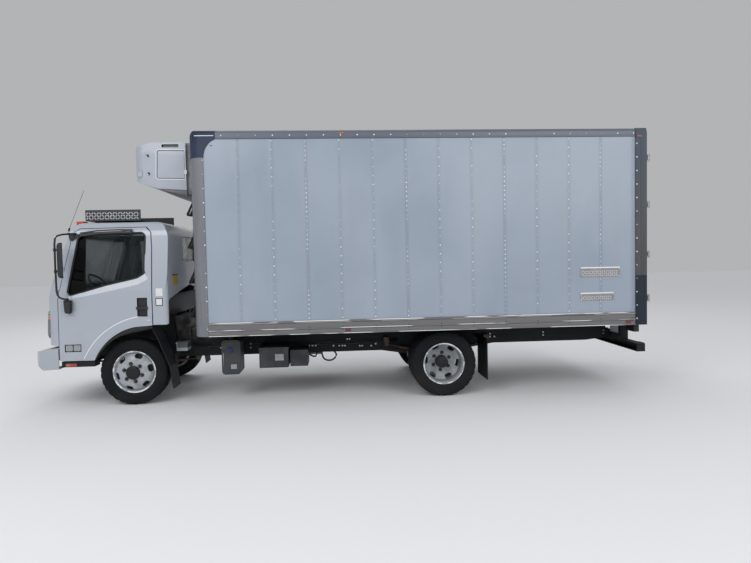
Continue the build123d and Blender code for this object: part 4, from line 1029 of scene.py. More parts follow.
# How far each outline of the head's shell lies ahead of its rear rim, and how much smaller it is
HEAD_SHELL = [(0.0, 0.94), (0.004, 1.0), (0.022, 1.0), (0.042, 0.93), (0.054, 0.74), (0.057, 0.50)]
LOOP = [
    (-0.604, 0.958, 2.104), (-0.650, 1.040, 2.098), (-0.700, 1.115, 2.088), (-0.734, 1.150, 2.072),
    (-0.752, 1.165, 2.040), (-0.758, 1.170, 1.980), (-0.760, 1.170, 1.700), (-0.757, 1.170, 1.430),
    (-0.750, 1.166, 1.385), (-0.732, 1.150, 1.350), (-0.705, 1.120, 1.332), (-0.670, 1.075, 1.326),
]
FOOT = [(-0.716, 1.158), (-0.646, 1.150), (-0.636, 1.312), (-0.726, 1.318)]
FOOT_SHELL = [(1.040, 0.80), (1.050, 0.97), (1.066, 1.0), (1.090, 0.97), (1.106, 0.80)]
BRACKET = [(-0.700, 2.118), (-0.585, 2.100), (-0.560, 2.078), (-0.640, 2.020), (-0.672, 2.020)]


def lower_head(mesh, side):
    """The small head at the loop's foot, a rounded shell."""
    foot = rounded(FOOT, [0.022, 0.022, 0.012, 0.012], 4)
    centre = [sum(axis) / len(FOOT) for axis in zip(*FOOT)]
    lofted(mesh, [
        [spot(centre[0] + (px - centre[0]) * share, side * py, centre[1] + (pz - centre[1]) * share)
         for px, pz in foot]
        for py, share in FOOT_SHELL
    ])


def mirror_loop(mesh, side):
    """The tube loop, the two clamps that hold the head to it, its lower stay and its bracket."""
    tube(mesh, [spot(px, side * py, pz) for px, py, pz in LOOP], 0.011, 10)
    for z in (1.660, 1.910):
        upper, lower = [spot(-0.760, side * 1.170, z + k) for k in (0.016, -0.016)]
        tube(mesh, [lower, upper], 0.016, 10)
        tube(mesh, [(lower + upper) / 2, spot(-0.715, side * 1.165, z)], 0.010)
    tube(mesh, [spot(-0.682, side * py, 1.250) for py in (1.022, 1.050)], 0.020, 10)
    lofted(mesh, [
        [spot(px, side * (skin_y(pz) + out), pz) for px, pz in BRACKET] for out in (-0.012, 0.012)
    ])


for name, side in SIDES:
    door_node, body = f"cab_door_{name}", f"door_{name}"
    bare = bare_door_mesh(name)
    bare_door = new_piece(f"bare_door_{name}", bare, door_paint, body, "white_paint", None)
    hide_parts(door_node)

    outward = Vector((sin(HEAD_TURN), side * cos(HEAD_TURN), 0))
    forward = Vector((-cos(HEAD_TURN), side * sin(HEAD_TURN), 0))
    middle = spot(HEAD_MIDDLE[0], side * HEAD_MIDDLE[1], HEAD_MIDDLE[2])
    rim = rounded(HEAD_OUTLINE, [0.03] * 4, 5)
    mesh = bmesh.new()
    shell = []
    for on, share in HEAD_SHELL:
        raised = [Vector((0, 0, v - v * (1 - share) * 0.5)) for u, v in rim]
        shell.append([middle + outward * u * share + forward * on + up for (u, v), up in zip(rim, raised)])
    lofted(mesh, shell)
    lower_head(mesh, side)
    mirror_loop(mesh, side)
    arms = finished(mesh, f"mirror_arms_{name}")
    arms.shade_smooth()
    arms.set_sharp_from_angle(angle=radians(38))
    new_piece(f"mirror_arms_{name}", arms, trim_plastic, body, "dark_plastic", None)
    for title, v0, v1 in (("upper", -0.080, 0.190), ("lower", -0.190, -0.096)):
        glass = rounded(upright(-0.080, 0.080, v0, v1), [0.018] * 4, 4)
        flat = [middle + outward * u - forward * 0.001 + Vector((0, 0, v)) for u, v in glass]
        slab(f"mirror_{title}_{name}", flat, -forward * 0.003, mirror_glass, body, "glass")


# Glass: a tinted windshield in a black band, clear door panes, and two wipers parked across the
# foot of the windshield.
cab_glass = Finish("cab_glass", (0.35, 0.42, 0.40), 0.02, IOR=1.3, Transmission_Weight=1.0)
x, y, z = cab_glass.place()
shield = (x - AXLE_X) < -0.50
# The black band follows the top, the foot and the sides, and leans in at the upper corners
GLASS_TOP, GLASS_FOOT, GLASS_SIDE = 2.050, 1.475, 0.845
lean_in = (z > GLASS_FOOT) * (abs(y) > 0.905 - 0.11 * (z - 1.45))
edge = (z > GLASS_TOP) + (z < GLASS_FOOT) + (abs(y) > GLASS_SIDE) + lean_in
black_band = shield * edge.clamped()
shade_strip = shield * (z > 1.98) * 0.5
tint = cab_glass.mix(shade_strip, (0.035, 0.055, 0.062), (0.010, 0.035, 0.040))
cab_glass.paint(black_band, tint, (0.008, 0.008, 0.009))
smears = cab_glass.patches(2.0, 2.0, 0.45, 0.8)
cab_glass.feed("Alpha", (0.50 + 0.05 * smears + black_band).clamped())
wear(cab_glass, "cab_glass", "door_glass_left", "door_glass_right")
SHIELD_FOOT_X, SHIELD_FOOT_Z, SHIELD_RAKE = -0.904, 1.435, 0.3196


def shield_x(z):
    """The windshield's plane: x at a height."""
    return SHIELD_FOOT_X + (z - SHIELD_FOOT_Z) * SHIELD_RAKE


# y of each wiper's pivot, and of its blade's ends
WIPERS = [(-0.62, -0.74, 0.02), (0.20, 0.08, 0.80)]
mesh = bmesh.new()
for pivot_y, start, end in WIPERS:
    pivot = spot(shield_x(1.410) - 0.022, pivot_y, 1.410)
    crank = spot(shield_x(1.440) - 0.034, pivot_y + 0.06, 1.440)
    tip = spot(shield_x(1.492) - 0.030, (start + end) / 2, 1.492)
    tube(mesh, [pivot, crank, tip], 0.0075)
    turned = [spot(shield_x(1.402) - k, pivot_y, 1.410) for k in (0.005, 0.030)]
    tube(mesh, turned, 0.016, 12)
    blade = [(start, 1.468), (start + 0.2, 1.488), (end - 0.2, 1.500), (end, 1.496)]
    tube(mesh, [spot(shield_x(pz) - 0.016, py, pz) for py, pz in blade], 0.008)
    bridge = [spot(shield_x(1.494) - 0.026, (start + end) / 2 + k, 1.494) for k in (-0.18, 0.18)]
    tube(mesh, bridge, 0.005)
closed_piece("wipers", mesh, trim_plastic, "cab", "dark_plastic", True)


# The lamps: clear moulded lenses over bright bowls in front, orange markers along the roof, two
# lamps let into each door, and a red and amber marker under each step.
head_lens = Finish("cab_lamp_lens", (0.60, 0.62, 0.64), 0.08, Coat_Weight=1.0)
x, y, z = head_lens.place()
roof_lamp = z > 2.1


def bowl(y, z, at_y, at_z, radius):
    """Rings of a round reflector about a point, and where it ends."""
    dy = abs(y) - at_y
    dz = z - at_z
    far = (dy * dy + dz * dz).root()
    rings = 0.35 + 0.65 * ridges(far * 55.0) * 2.0
    return far < radius, rings


low_in, low_rings = bowl(y, z, 0.715, 0.948, 0.078)
high_in, high_rings = bowl(y, z, 0.870, 0.968, 0.066)
turn_in, turn_rings = bowl(y, z, 0.925, 1.110, 0.050)
lens = head_lens.mix(low_in * low_rings, (0.20, 0.21, 0.22), (0.86, 0.88, 0.90))
lens = head_lens.mix(high_in * high_rings, lens, (0.86, 0.88, 0.90))
lens = head_lens.mix(turn_in * turn_rings, lens, (0.62, 0.20, 0.03))
head_lens.paint(roof_lamp, lens, (0.50, 0.075, 0.02))
head_lens.feed("Metallic", (0.65 - 0.65 * (roof_lamp + turn_in)).clamped())
flutes = ridges(y * 60.0)
head_lens.bump(flutes, 0.25, 0.003)
wear(head_lens, "cab_lamps")

grey_lens = Finish("grey_lens", (0.30, 0.32, 0.34), 0.12, Coat_Weight=1.0, Metallic=0.4)
x, y, z = grey_lens.place()
prisms = ridges(x * 90.0) + ridges(z * 90.0)
grey_lens.paint(prisms.clamped(), (0.16, 0.17, 0.18), (0.44, 0.46, 0.48))
grey_lens.bump(prisms, 0.4, 0.002)
step_lens = Finish("step_lens", (0.35, 0.012, 0.015), 0.2, Coat_Weight=1.0)
x, y, z = step_lens.place()
amber_end = (x - AXLE_X) < -0.700
step_lens.paint(amber_end, (0.30, 0.012, 0.012), (0.36, 0.075, 0.015))
step_lens.bump(ridges(x * 80.0), 0.4, 0.002)
DOOR_LAMPS = [("front", -0.748, -0.668), ("rear", -0.658, -0.576)]
for name, side in SIDES:
    body = f"door_{name}"
    for place_name, x0, x1 in DOOR_LAMPS:
        title = f"door_lamp_{place_name}_{name}"
        side_plate(title, x0, x1, 0.700, 0.770, side * 1.0155, 0.012, grey_lens, body, "lamp_lens", 0.010)
    title = f"step_marker_{name}"
    side_plate(title, -0.752, -0.626, 0.516, 0.552, side * 1.0295, 0.006, step_lens, "chassis", "lamp_lens")


# Front end: a dark mesh behind the slats and behind the bumper's intake, and a fog lamp in each
# round hole of the bumper.
front_mesh = Finish("front_mesh", (0.012, 0.012, 0.013), 0.6)
x, y, z = front_mesh.place()
cells = (ridges(y * 45.0) > 0.36) + (ridges(z * 45.0) > 0.36)
front_mesh.paint(cells.clamped(), (0.004, 0.004, 0.004), (0.045, 0.046, 0.048))
front_mesh.bump(cells.clamped(), 0.6, 0.004)
end_plate("grille_mesh", -0.585, 0.585, 0.862, 1.064, -0.9310, 0.004, front_mesh, "cab", "dark_plastic")
end_plate("intake_mesh", -0.345, 0.345, 0.518, 0.606, -1.0950, 0.004, front_mesh, "chassis", "dark_plastic")
FOG_Y, FOG_Z = 0.620, 0.610
fog_clear = Finish("fog_lamp_glass", (0.62, 0.65, 0.68), 0.08, Coat_Weight=1.0, Metallic=0.6)
x, y, z = fog_clear.place()
fog_rings = bowl(y, z, FOG_Y, FOG_Z, 0.2)[1]
fog_clear.paint(fog_rings, (0.22, 0.24, 0.26), (0.80, 0.83, 0.86))
FOG_PROFILE = [(-1.080, 0.051), (-1.118, 0.052), (-1.124, 0.048), (-1.128, 0.030), (-1.130, 0.001)]


def turned_forward(mesh, profile, y, z, segments=32):
    """A closed body turned about a line along x. Profile: x, radius."""
    turns = [tau * k / segments for k in range(segments)]
    lofted(mesh, [[spot(px, y + r * cos(t), z + r * sin(t)) for t in turns] for px, r in profile])


for name, side in SIDES:
    mesh = bmesh.new()
    turned_forward(mesh, FOG_PROFILE, side * FOG_Y, FOG_Z)
    closed_piece(f"fog_lamp_{name}", mesh, fog_clear, "chassis", "lamp_lens", True)


# Inside the cab: a moulded dashboard with its dials and vents, and three seats of foam in woven cloth with
# sewn channels.
dash_plastic = Finish("dash_plastic", (0.045, 0.046, 0.048), 0.6)
x, y, z = dash_plastic.place()
lower = z < 1.30
dash_plastic.paint(lower, (0.040, 0.041, 0.043), (0.075, 0.076, 0.078))
dash_plastic.uneven(0.5, 0.2, 9.0, 3.0)
dash_plastic.grain(260.0, 2.0, 0.35, 0.001)
wear(dash_plastic, "dashboard")
end_plate("dial_panel", -0.740, -0.400, 1.290, 1.372, -0.6205, 0.010, smoked, "cab", "dark_plastic", 0.02)
VENTS = [(-0.90, -0.79), (-0.11, -0.01), (0.01, 0.11), (0.79, 0.90)]
for k, (y0, y1) in enumerate(VENTS):
    mesh = bmesh.new()
    for n in range(5):
        z = 1.290 + 0.014 * n
        corners = [(-0.6235, z), (-0.6115, z + 0.003), (-0.6115, z + 0.006), (-0.6235, z + 0.003)]
        prism(mesh, [spot(px, y0, pz) for px, pz in corners], Vector((0, y1 - y0, 0)))
    closed_piece(f"dash_vent_{k}", mesh, trim_plastic, "cab", "dark_plastic")

seat_cloth = Finish("seat_cloth", (0.075, 0.080, 0.088), 0.85, Sheen_Weight=0.3)
x, y, z = seat_cloth.place()
threads = ridges(y * 260.0) * ridges(z * 130.0 + x * 230.0)
worn = seat_cloth.patches(5.0, 4.0, 0.4, 0.7)
cloth = seat_cloth.mix(worn * 0.5, (0.062, 0.067, 0.075), (0.12, 0.12, 0.125))
seat_cloth.paint(threads * 2.0, cloth, (0.16, 0.165, 0.175))
seat_cloth.bump(threads, 0.5, 0.002)
# middle y, half width, lift of each seat
SEATS = [("driver", -0.560, 0.250, 0.0), ("middle", 0.030, 0.190, 0.092), ("passenger", 0.560, 0.250, 0.0)]
CUSHION = [(-0.252, 1.098), (0.224, 1.098), (0.224, 1.196), (-0.226, 1.226), (-0.254, 1.194)]
CUSHION_RADII = [0.022, 0.022, 0.028, 0.036, 0.026]
BACK = [(0.158, 1.212), (0.244, 1.206), (0.338, 1.784), (0.300, 1.822), (0.252, 1.792)]
BACK_RADII = [0.024, 0.024, 0.024, 0.024, 0.026]
PUFF = 0.010
PUFF_STEPS = 20
CHANNEL_DEEP = 0.007
CHANNEL_WIDE = 0.009


def padded_mesh(name, outline, radii, y, half, lift):
    """A foam block swollen by pressure in a cloth simulation, its sides drawn in at the corners."""
    mesh = bmesh.new()
    edge = half - 0.012
    points = [spot(px, y - edge, pz + lift) for px, pz in rounded(outline, radii, 4)]
    prism(mesh, points, Vector((0, 2 * edge, 0)))
    foam = bpy.data.objects.new(name, finished(mesh, name))
    bpy.context.scene.collection.objects.link(foam)
    grid = foam.modifiers.new("grid", "REMESH")
    grid.mode = "VOXEL"
    grid.voxel_size = 0.010
    foam.data = plain_mesh(foam)
    foam.modifiers.clear()
    smooth = foam.modifiers.new("smooth", "SMOOTH")
    smooth.iterations = 6
    foam.data = plain_mesh(foam)
    foam.modifiers.clear()
    cloth = foam.modifiers.new("cloth", "CLOTH")
    cloth.settings.use_pressure = True
    cloth.settings.uniform_pressure_force = 4.0
    cloth.settings.effector_weights.gravity = 0.0
    cloth.point_cache.frame_start = 1
    cloth.point_cache.frame_end = PUFF_STEPS
    for frame_number in range(1, PUFF_STEPS + 1):
        bpy.context.scene.frame_set(frame_number)
    moved = foam.evaluated_get(bpy.context.evaluated_depsgraph_get()).data
    ends = [v.co.copy() for v in moved.vertices]
    for vertex, end in zip(foam.data.vertices, ends):
        step = end - vertex.co
        if step.length > PUFF:
            step = step.normalized() * PUFF
        vertex.co += step
    foam.modifiers.clear()
    bpy.context.scene.frame_set(1)
    swollen = foam.data
    bpy.data.objects.remove(foam)
    return swollen


def sewn(mesh, y, half, crossing):
    """Presses the sewn channels in: two along the pad, and one across it at a height, if given."""
    mesh.update()
    for vertex in mesh.vertices:
        aside = abs(abs(vertex.co.y - y) - half * 0.56) / CHANNEL_WIDE
        over = abs(vertex.co.z - crossing) / CHANNEL_WIDE if crossing else 9.0
        press = max(0.0, 1.0 - aside * aside) + max(0.0, 1.0 - over * over)
        vertex.co -= vertex.normal * CHANNEL_DEEP * min(1.0, press)
    mesh.update()


for name, y, half, lift in SEATS:
    parts = [("cushion", CUSHION, CUSHION_RADII, None, 0.7), ("back", BACK, BACK_RADII, 1.60 + lift, 0.6)]
    for part_name, outline, radii, crossing, fill in parts:
        title = f"seat_{part_name}_{name}"
        mesh = padded_mesh(title, outline, radii, y, half, lift)
        sewn(mesh, y, half, crossing)
        pad = new_piece(title, mesh, seat_cloth, "cab", "seat_fabric", True)
        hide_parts("cab_seats")


# The roof tray and the antenna: a tray of aluminium tread plate with raised bars in two
# directions, open behind, and a whip antenna on the left pillar.
# The plate's dark base colour is painted shade, against the bars' painted highlights; the tray's inside is
# painted darker still as shade
tread_plate = Finish("tread_plate", (0.07, 0.075, 0.085), 0.5, Metallic=0.2)
x, y, z = tread_plate.place()
tray_inside_shade = inside(x - AXLE_X, -0.5835, 0.2) * (abs(y) < 0.7135) * (z > 2.2745)
dulled = tread_plate.noise(20.0, 3.0)
plate_in_shade = tread_plate.mix(dulled, (0.022, 0.025, 0.032), (0.05, 0.054, 0.062))
tread_plate.paint(tray_inside_shade, plate_in_shade, (0.014, 0.015, 0.017))
tread_plate.feed("Roughness", 0.35 + 0.3 * dulled)
wear(tread_plate, "roof_tray")
# The bars' light colour, near white in patches, is painted highlight
bar_highlight_metal = Finish("tread_bar_highlight", (0.50, 0.51, 0.52), 0.35, Metallic=0.2)
bar_highlight_patches = bar_highlight_metal.noise(14.0, 3.0)
bar_highlight_metal.paint(bar_highlight_patches, (0.78, 0.79, 0.80), (0.34, 0.345, 0.35))
BAR_SIZES = {"Vertices": 8, "Radius Top": 0.5, "Radius Bottom": 1.0, "Depth": 1.0}
BAR_TREE = scatter_tree("tread_bars", "GeometryNodeMeshCone", BAR_SIZES)
BAR_PITCH = 0.032


def tread_bars(name, x0, x1, z0, z1, place, facing, body, pitch=BAR_PITCH):
    """Bars over a flat patch. place turns the patch's two axes into a spot."""
    mesh = bmesh.new()
    for lean, first in ((45, 0), (-45, 1)):
        points = []
        for row in range(int((z1 - z0) / pitch)):
            for column in range((row + first) % 2, int((x1 - x0) / pitch), 2):
                points.append(place(x0 + (column + 0.5) * pitch, z0 + (row + 0.5) * pitch))
        sizes = (pitch * 0.54, pitch * 0.20, 0.003)
        mesh.from_mesh(scattered(name, BAR_TREE, points, sizes, facing, radians(lean), bar_highlight_metal))
    joined = bpy.data.meshes.new(name)
    mesh.to_mesh(joined)
    mesh.free()
    return new_piece(name, joined, bar_highlight_metal, body, "brushed_aluminium")


SIDE_FACING = {-1: (radians(90), 0, 0), 1: (radians(-90), 0, 0)}
for name, side in SIDES:

    def on_side(px, pz, y=side * 0.7205):
        return spot(px, y, pz)

    tread_bars(f"tray_bars_{name}", -0.585, 0.075, 2.282, 2.400, on_side, SIDE_FACING[side], "cab")


def on_front(py, pz):
    return spot(-0.5905, py, pz)


tread_bars("tray_bars_front", -0.71, 0.71, 2.282, 2.400, on_front, (radians(90), 0, radians(-90)), "cab")

ANTENNA = [
    ([(-0.704, -0.925, 2.135), (-0.690, -0.927, 2.175)], 0.011, 8),
    ([(-0.692, -0.927, 2.170), (-0.504, -0.932, 2.620)], 0.0022, 6),
]
bars("antenna", ANTENNA, trim_plastic, "cab", "dark_plastic", False)


# The box: white-faced panels riveted in 16 in bays to aluminium rails, with a corner post and a
# cast cap each side of the front wall.
# The box's white skin is given grey-blue and darker than white: partly painted shade
BOX_WHITE_IN_SHADE = (0.285, 0.335, 0.405)
BAY = 0.3976
FIRST_RIVET_X = 1.367
BAYS = 12
SEAM_EVERY = 3
box_skin = Finish("box_skin", BOX_WHITE_IN_SHADE, 0.34, Coat_Weight=0.3, Coat_Roughness=0.15)
x, y, z = box_skin.place()
along = x - AXLE_X - FIRST_RIVET_X
bay = ridges(along / BAY + 0.5) * BAY
# Painted reflections: soft lighter and darker patches of sheen on the skin, which its roughness follows too
sheen = box_skin.noise(1.1, 3.0, (1, 1, 0.7), 0.4)
painted_sheen_patches = box_skin.ramp(sheen, (0.32, 0.0), (0.68, 1.0))
skin = box_skin.mix(painted_sheen_patches, (0.262, 0.310, 0.378), (0.312, 0.360, 0.428))
# The skin is drawn in a little along each line of rivets, with painted shade along those lines, and panels
# meet on every third
on_walls = abs(y) > 1.2
rivet_line_dip_and_shade = (1.0 - bay * 30.0).clamped() * on_walls
skin = box_skin.mix(rivet_line_dip_and_shade * 0.22, skin, (0.14, 0.175, 0.235))
seam_at = ridges((along - 2 * BAY) / (SEAM_EVERY * BAY) + 0.5) * (SEAM_EVERY * BAY)
seam = (abs(seam_at - 0.014) < 0.0014) * on_walls
skin = box_skin.mix(seam * 0.5, skin, (0.14, 0.16, 0.19))
streaks = box_skin.patches(3.0, 4.0, 0.52, 0.85, (2.2, 1, 0.16))
skin = box_skin.mix(streaks * 0.25, skin, (0.30, 0.31, 0.33))
# The rear doors' hinges and lock rods, outside the skin, are plated
DOOR_SKIN_X = 6.3258
plated = x - AXLE_X > DOOR_SKIN_X
skin = box_skin.mix(plated, skin, (0.36, 0.36, 0.35))
box_skin.feed("Base Color", skin)
box_skin.feed("Metallic", 0.8 * plated)
box_skin.feed("Roughness", 0.30 + 0.14 * painted_sheen_patches)
dents = box_skin.noise(1.7, 2.0) + 0.35 * rivet_line_dip_and_shade
box_skin.bump(dents, 0.35, 0.03)
wear(box_skin, "box_wall_left", "box_wall_right", "box_wall_front", "rear_door_left", "rear_door_right")

roof_skin = Finish("roof_skin", (0.6, 0.62, 0.63), 0.45)
x, y, z = roof_skin.place()
bows = ridges((x - AXLE_X) / 0.61) < 0.02
grimed = roof_skin.patches(2.0, 5.0, 0.4, 0.75)
roof_skin.paint((grimed * 0.5 + bows * 0.4).clamped(), (0.56, 0.59, 0.61), (0.36, 0.37, 0.36))
roof_skin.uneven(0.35, 0.3, 3.0, 4.0)
roof_skin.bump(bows + 0.3 * roof_skin.noise(2.5, 2.0), 0.3, 0.01)
wear(roof_skin, "box_roof")

# Rails: painted highlights in broken lines along the ribs, painted shade in the grooves, and the top rail
# painted darker and bluer than the lower one as shade
rail_metal = Finish("rail_metal", (0.30, 0.30, 0.30), 0.4, Metallic=0.35)
x, y, z = rail_metal.place()
brushing = rail_metal.noise(30.0, 3.0, (0.05, 1, 8))
metal = rail_metal.mix(brushing, (0.12, 0.12, 0.125), (0.22, 0.215, 0.215))
# Painted shade: the top rail darker and bluer
metal = rail_metal.mix(z > 3.10, metal, (0.13, 0.15, 0.185))
broken = rail_metal.patches(1.6, 2.0, 0.47, 0.50, (1, 0, 14))
# Painted highlights along the ribs, broken in patches
glint = inside(z, 1.0015, 1.0105) + inside(z, 0.9875, 0.9905)
glint = glint + inside(z, 0.915, 0.9215) + inside(z, 0.850, 0.856)
metal = rail_metal.mix((glint * broken).clamped(), metal, (0.86, 0.87, 0.86))
# Painted shade in the grooves
groove_shade = inside(z, 0.980, 0.9862) + inside(z, 0.904, 0.909) + inside(z, 3.160, 3.166)
metal = rail_metal.mix((groove_shade * 0.7).clamped(), metal, (0.03, 0.03, 0.035))
rail_metal.feed("Base Color", metal)
rail_metal.feed("Roughness", 0.30 + 0.25 * brushing)
wear(rail_metal, "box_rails")

floor_metal = Finish("floor_metal", (0.35, 0.35, 0.35), 0.45, Metallic=0.4)
x, y, z = floor_metal.place()
under = z < 0.998
treads = ridges(y * 26.0)
bright = floor_metal.mix(treads * 2.0, (0.20, 0.20, 0.20), (0.45, 0.45, 0.44))
floor_metal.paint(under, bright, (0.035, 0.036, 0.038))
floor_metal.feed("Metallic", 0.6 - 0.6 * under)
floor_metal.bump(treads * (1.0 - under), 0.5, 0.006)
wear(floor_metal, "box_floor")

corner_paint = Finish("corner_paint", (0.33, 0.30, 0.29), 0.4, Coat_Weight=0.2)
x, y, z = corner_paint.place()
brushed = corner_paint.noise(5.0, 4.0, (6, 6, 0.3))
post = corner_paint.mix(brushed, (0.125, 0.132, 0.152), (0.205, 0.212, 0.235))
post_edge = inside(x - AXLE_X, 0.9745, 0.990)
corner_paint.paint(post_edge * 0.8, post, (0.07, 0.075, 0.08))
corner_paint.feed("Roughness", 0.34 + 0.2 * brushed)
wear(corner_paint, "box_corners")
cap_metal = Finish("cap_metal", (0.022, 0.036, 0.07), 0.5, Specular_IOR_Level=0.3)
clouds = cap_metal.patches(2.4, 3.0, 0.4, 0.7)
cap_metal.paint(clouds, (0.016, 0.028, 0.060), (0.040, 0.056, 0.095))
cap_metal.feed("Roughness", 0.42 + 0.2 * clouds)
wear(cap_metal, "corner_caps")

# Painted highlights: in soft patches the rivets are near white, as glints, and grey-blue elsewhere
rivet_metal = Finish("rivet_metal", (0.8, 0.82, 0.84), 0.3)
bright = rivet_metal.patches(2.6, 3.0, 0.40, 0.56)
rivet_metal.paint(bright, (0.22, 0.25, 0.30), (0.92, 0.94, 0.96))
WALL_Y = 1.2192
# kind, radius, height, finish and slot of the heads in the walls, the rails and the rails' edges
HEAD_ROWS = {
    "wall_rivets": ("rivet", 0.0075, 0.0036, rivet_metal, "brushed_aluminium"),
    "rail_rivets": ("rivet", 0.0085, 0.0035, rivet_metal, "brushed_aluminium"),
    "rail_screws": ("bolt", 0.0070, 0.0025, spring_steel, "bare_steel"),
}
for name, side in SIDES:
    rows = {title: [] for title in HEAD_ROWS}
    for k in range(BAYS):
        pitch = 0.055 if k % SEAM_EVERY == 2 else 0.105
        count = int(2.10 / pitch) + 1
        seam_x = FIRST_RIVET_X + BAY * k
        rows["wall_rivets"] += [spot(seam_x, side * WALL_Y, 1.040 + pitch * n) for n in range(count)]
    rows["rail_rivets"] += [spot(1.190 + BAY / 2 * n, side * 1.2222, 3.202) for n in range(26)]
    rows["rail_rivets"] += [spot(0.968, side * WALL_Y, 0.94 + 0.165 * n) for n in range(13)]
    for k in range(BAYS + 1):
        rows["rail_screws"] += [spot(FIRST_RIVET_X + BAY * k, side * 1.2245, z) for z in (0.935, 0.897)]
    rows["rail_screws"] += [spot(0.895 + 0.045 * n, side * 1.2253, 3.135 - 0.012 * n) for n in range(5)]
    for title, (kind, radius, height, finish, slot) in HEAD_ROWS.items():
        heads(f"{title}_{name}", kind, rows[title], "side", radius, height, finish, "chassis", slot)

# Side markers, the blank plate on the rail and a strip along the cap, painted bright as a highlight
marker_red = Finish("marker_red", (0.12, 0.006, 0.014), 0.2, Coat_Weight=0.6)
marker_red.grain(120.0, 1.0, 0.15, 0.001)
marker_amber = Finish("marker_amber", (0.42, 0.15, 0.03), 0.15, Coat_Weight=1.0)
marker_amber.grain(120.0, 1.0, 0.15, 0.001)
rail_plate = Finish("rail_plate", (0.20, 0.195, 0.19), 0.4, Metallic=0.3)
rail_plate.uneven(0.3, 0.3, 20.0, 3.0)
# Bright metal, also used for painted highlights on the cap's strip and beside the unit's latches
bright_metal_and_highlight = Finish("bright_metal_and_highlight", (0.78, 0.80, 0.82), 0.3)
bright_metal_and_highlight.uneven(0.2, 0.3, 20.0, 3.0)
# title, x, x, z, z, y, thickness, finish, slot, corner radius
RAIL_PLATES = [
    ("rail_marker_mid", 2.588, 2.655, 0.872, 0.908, 1.2235, 0.005, marker_red, "lamp_lens", 0.004),
    ("rail_marker_rear", 6.058, 6.122, 0.872, 0.908, 1.2235, 0.005, marker_red, "lamp_lens", 0.004),
    ("rail_blank", 0.990, 1.133, 0.872, 0.904, 1.2235, 0.002, rail_plate, "brushed_aluminium", 0.004),
    ("top_marker_front", 2.560, 2.620, 3.212, 3.230, 1.2215, 0.012, marker_amber, "lamp_lens", 0.004),
    ("cap_strip", 0.885, 1.105, 3.196, 3.203, 1.2245, 0.003, bright_metal_and_highlight, "brushed_aluminium", 0.002),
]
for name, side in SIDES:
    for title, x0, x1, z0, z1, y, thick, finish, slot, radius in RAIL_PLATES:
        title = f"{title}_{name}"
        side_plate(title, x0, x1, z0, z1, side * y, thick, finish, "chassis", slot, radius)

# Two patches of tread plate on each wall's rear end, folded over along their upper edges
patch_plate = Finish("patch_plate", (0.30, 0.30, 0.30), 0.4, Metallic=0.5)
patch_plate.paint(patch_plate.noise(9.0, 4.0), (0.20, 0.20, 0.205), (0.38, 0.37, 0.36))
PATCHES = [("upper", 5.480, 5.986, 1.451, 1.566), ("lower", 5.478, 5.909, 1.162, 1.253)]
screws = []
for name, side in SIDES:

    def on_patch(px, pz, y=side * 1.2222):
        return spot(px, y, pz)

    for label, x0, x1, z0, z1 in PATCHES:
        y = side * 1.2190
        title = f"{label}_{name}"
        side_plate(f"patch_{title}", x0, x1, z0, z1, y, 0.003, patch_plate, "chassis", "brushed_aluminium")
        fold = (x0 + 0.006, x1 - 0.006, z1 - 0.006, z1 + 0.008, y, 0.007, bright_metal_and_highlight)
        side_plate(f"patch_fold_{title}", *fold, "chassis", "brushed_aluminium", 0.002)
        field = (x0 + 0.008, x1 - 0.008, z0 + 0.006, z1 - 0.010)
        tread_bars(f"patch_bars_{title}", *field, on_patch, SIDE_FACING[side], "chassis", 0.026)
        ends, edges = (x0 + 0.012, x1 - 0.012), (z0 + 0.012, z1 - 0.018)
        screws += [spot(px, side * 1.2235, pz) for px in ends for pz in edges]
heads("patch_screws", "rivet", screws, "side", 0.0060, 0.0030, rivet_metal, "chassis", "brushed_aluminium")


# The refrigeration unit: a white moulded hood over a dark pan, with a lipped service door,
# quarter-turn latches, a blank label and a louvred front, bolted to a panel on the front wall.
# The unit's white hood is given grey-blue and darker than white: partly painted shade
UNIT_WHITE_IN_SHADE = (0.36, 0.395, 0.45)
unit_plastic = Finish("unit_plastic", UNIT_WHITE_IN_SHADE, 0.32, Coat_Weight=0.3)
x, y, z = unit_plastic.place()
front = x - AXLE_X
# Painted shade: the louvred front's recess, the side vents and the service door's seam are painted near
# black
recess_shade = inside(front, 0.0985, 0.138) * (abs(y) < 0.6205) * inside(z, 2.769, 3.061)
vent_shade = inside(front, 0.429, 0.633) * inside(z, 3.1215, 3.1605) * (abs(y) < 0.9490) * (abs(y) > 0.9)
grimy = unit_plastic.patches(3.0, 5.0, 0.4, 0.8)
# Dirt in patches all over, and painted shade that darkens the hood towards its foot
low = ((2.78 - z) / 0.2).clamped()
dirt_and_low_shade = (grimy * (0.12 + 0.5 * low)).clamped()
hood = unit_plastic.mix(dirt_and_low_shade, UNIT_WHITE_IN_SHADE, (0.20, 0.175, 0.155))
cut = inside(abs(y), 0.9405, 0.9492) * inside(front, 0.30, 0.72) * inside(z, 2.74, 3.10)
dark = (recess_shade + vent_shade + cut).clamped()
unit_plastic.paint(dark, hood, (0.018, 0.019, 0.021))
unit_plastic.feed("Roughness", 0.28 + 0.3 * grimy)
unit_plastic.grain(2.2, 2.0, 0.06, 0.02)
wear(unit_plastic, "unit_housing")
evaporator_white = Finish("evaporator_white", (0.62, 0.63, 0.63), 0.45)
x, y, z = evaporator_white.place()
fins = ridges(y * 70.0) * (x - AXLE_X > 1.188)
evaporator_white.paint(fins * 1.6, (0.60, 0.61, 0.61), (0.10, 0.10, 0.10))
wear(evaporator_white, "evaporator")
unit_dark = Finish("unit_dark", (0.16, 0.17, 0.19), 0.5)
x, y, z = unit_dark.place()
rubbed = unit_dark.patches(6.0, 5.0, 0.4, 0.7)
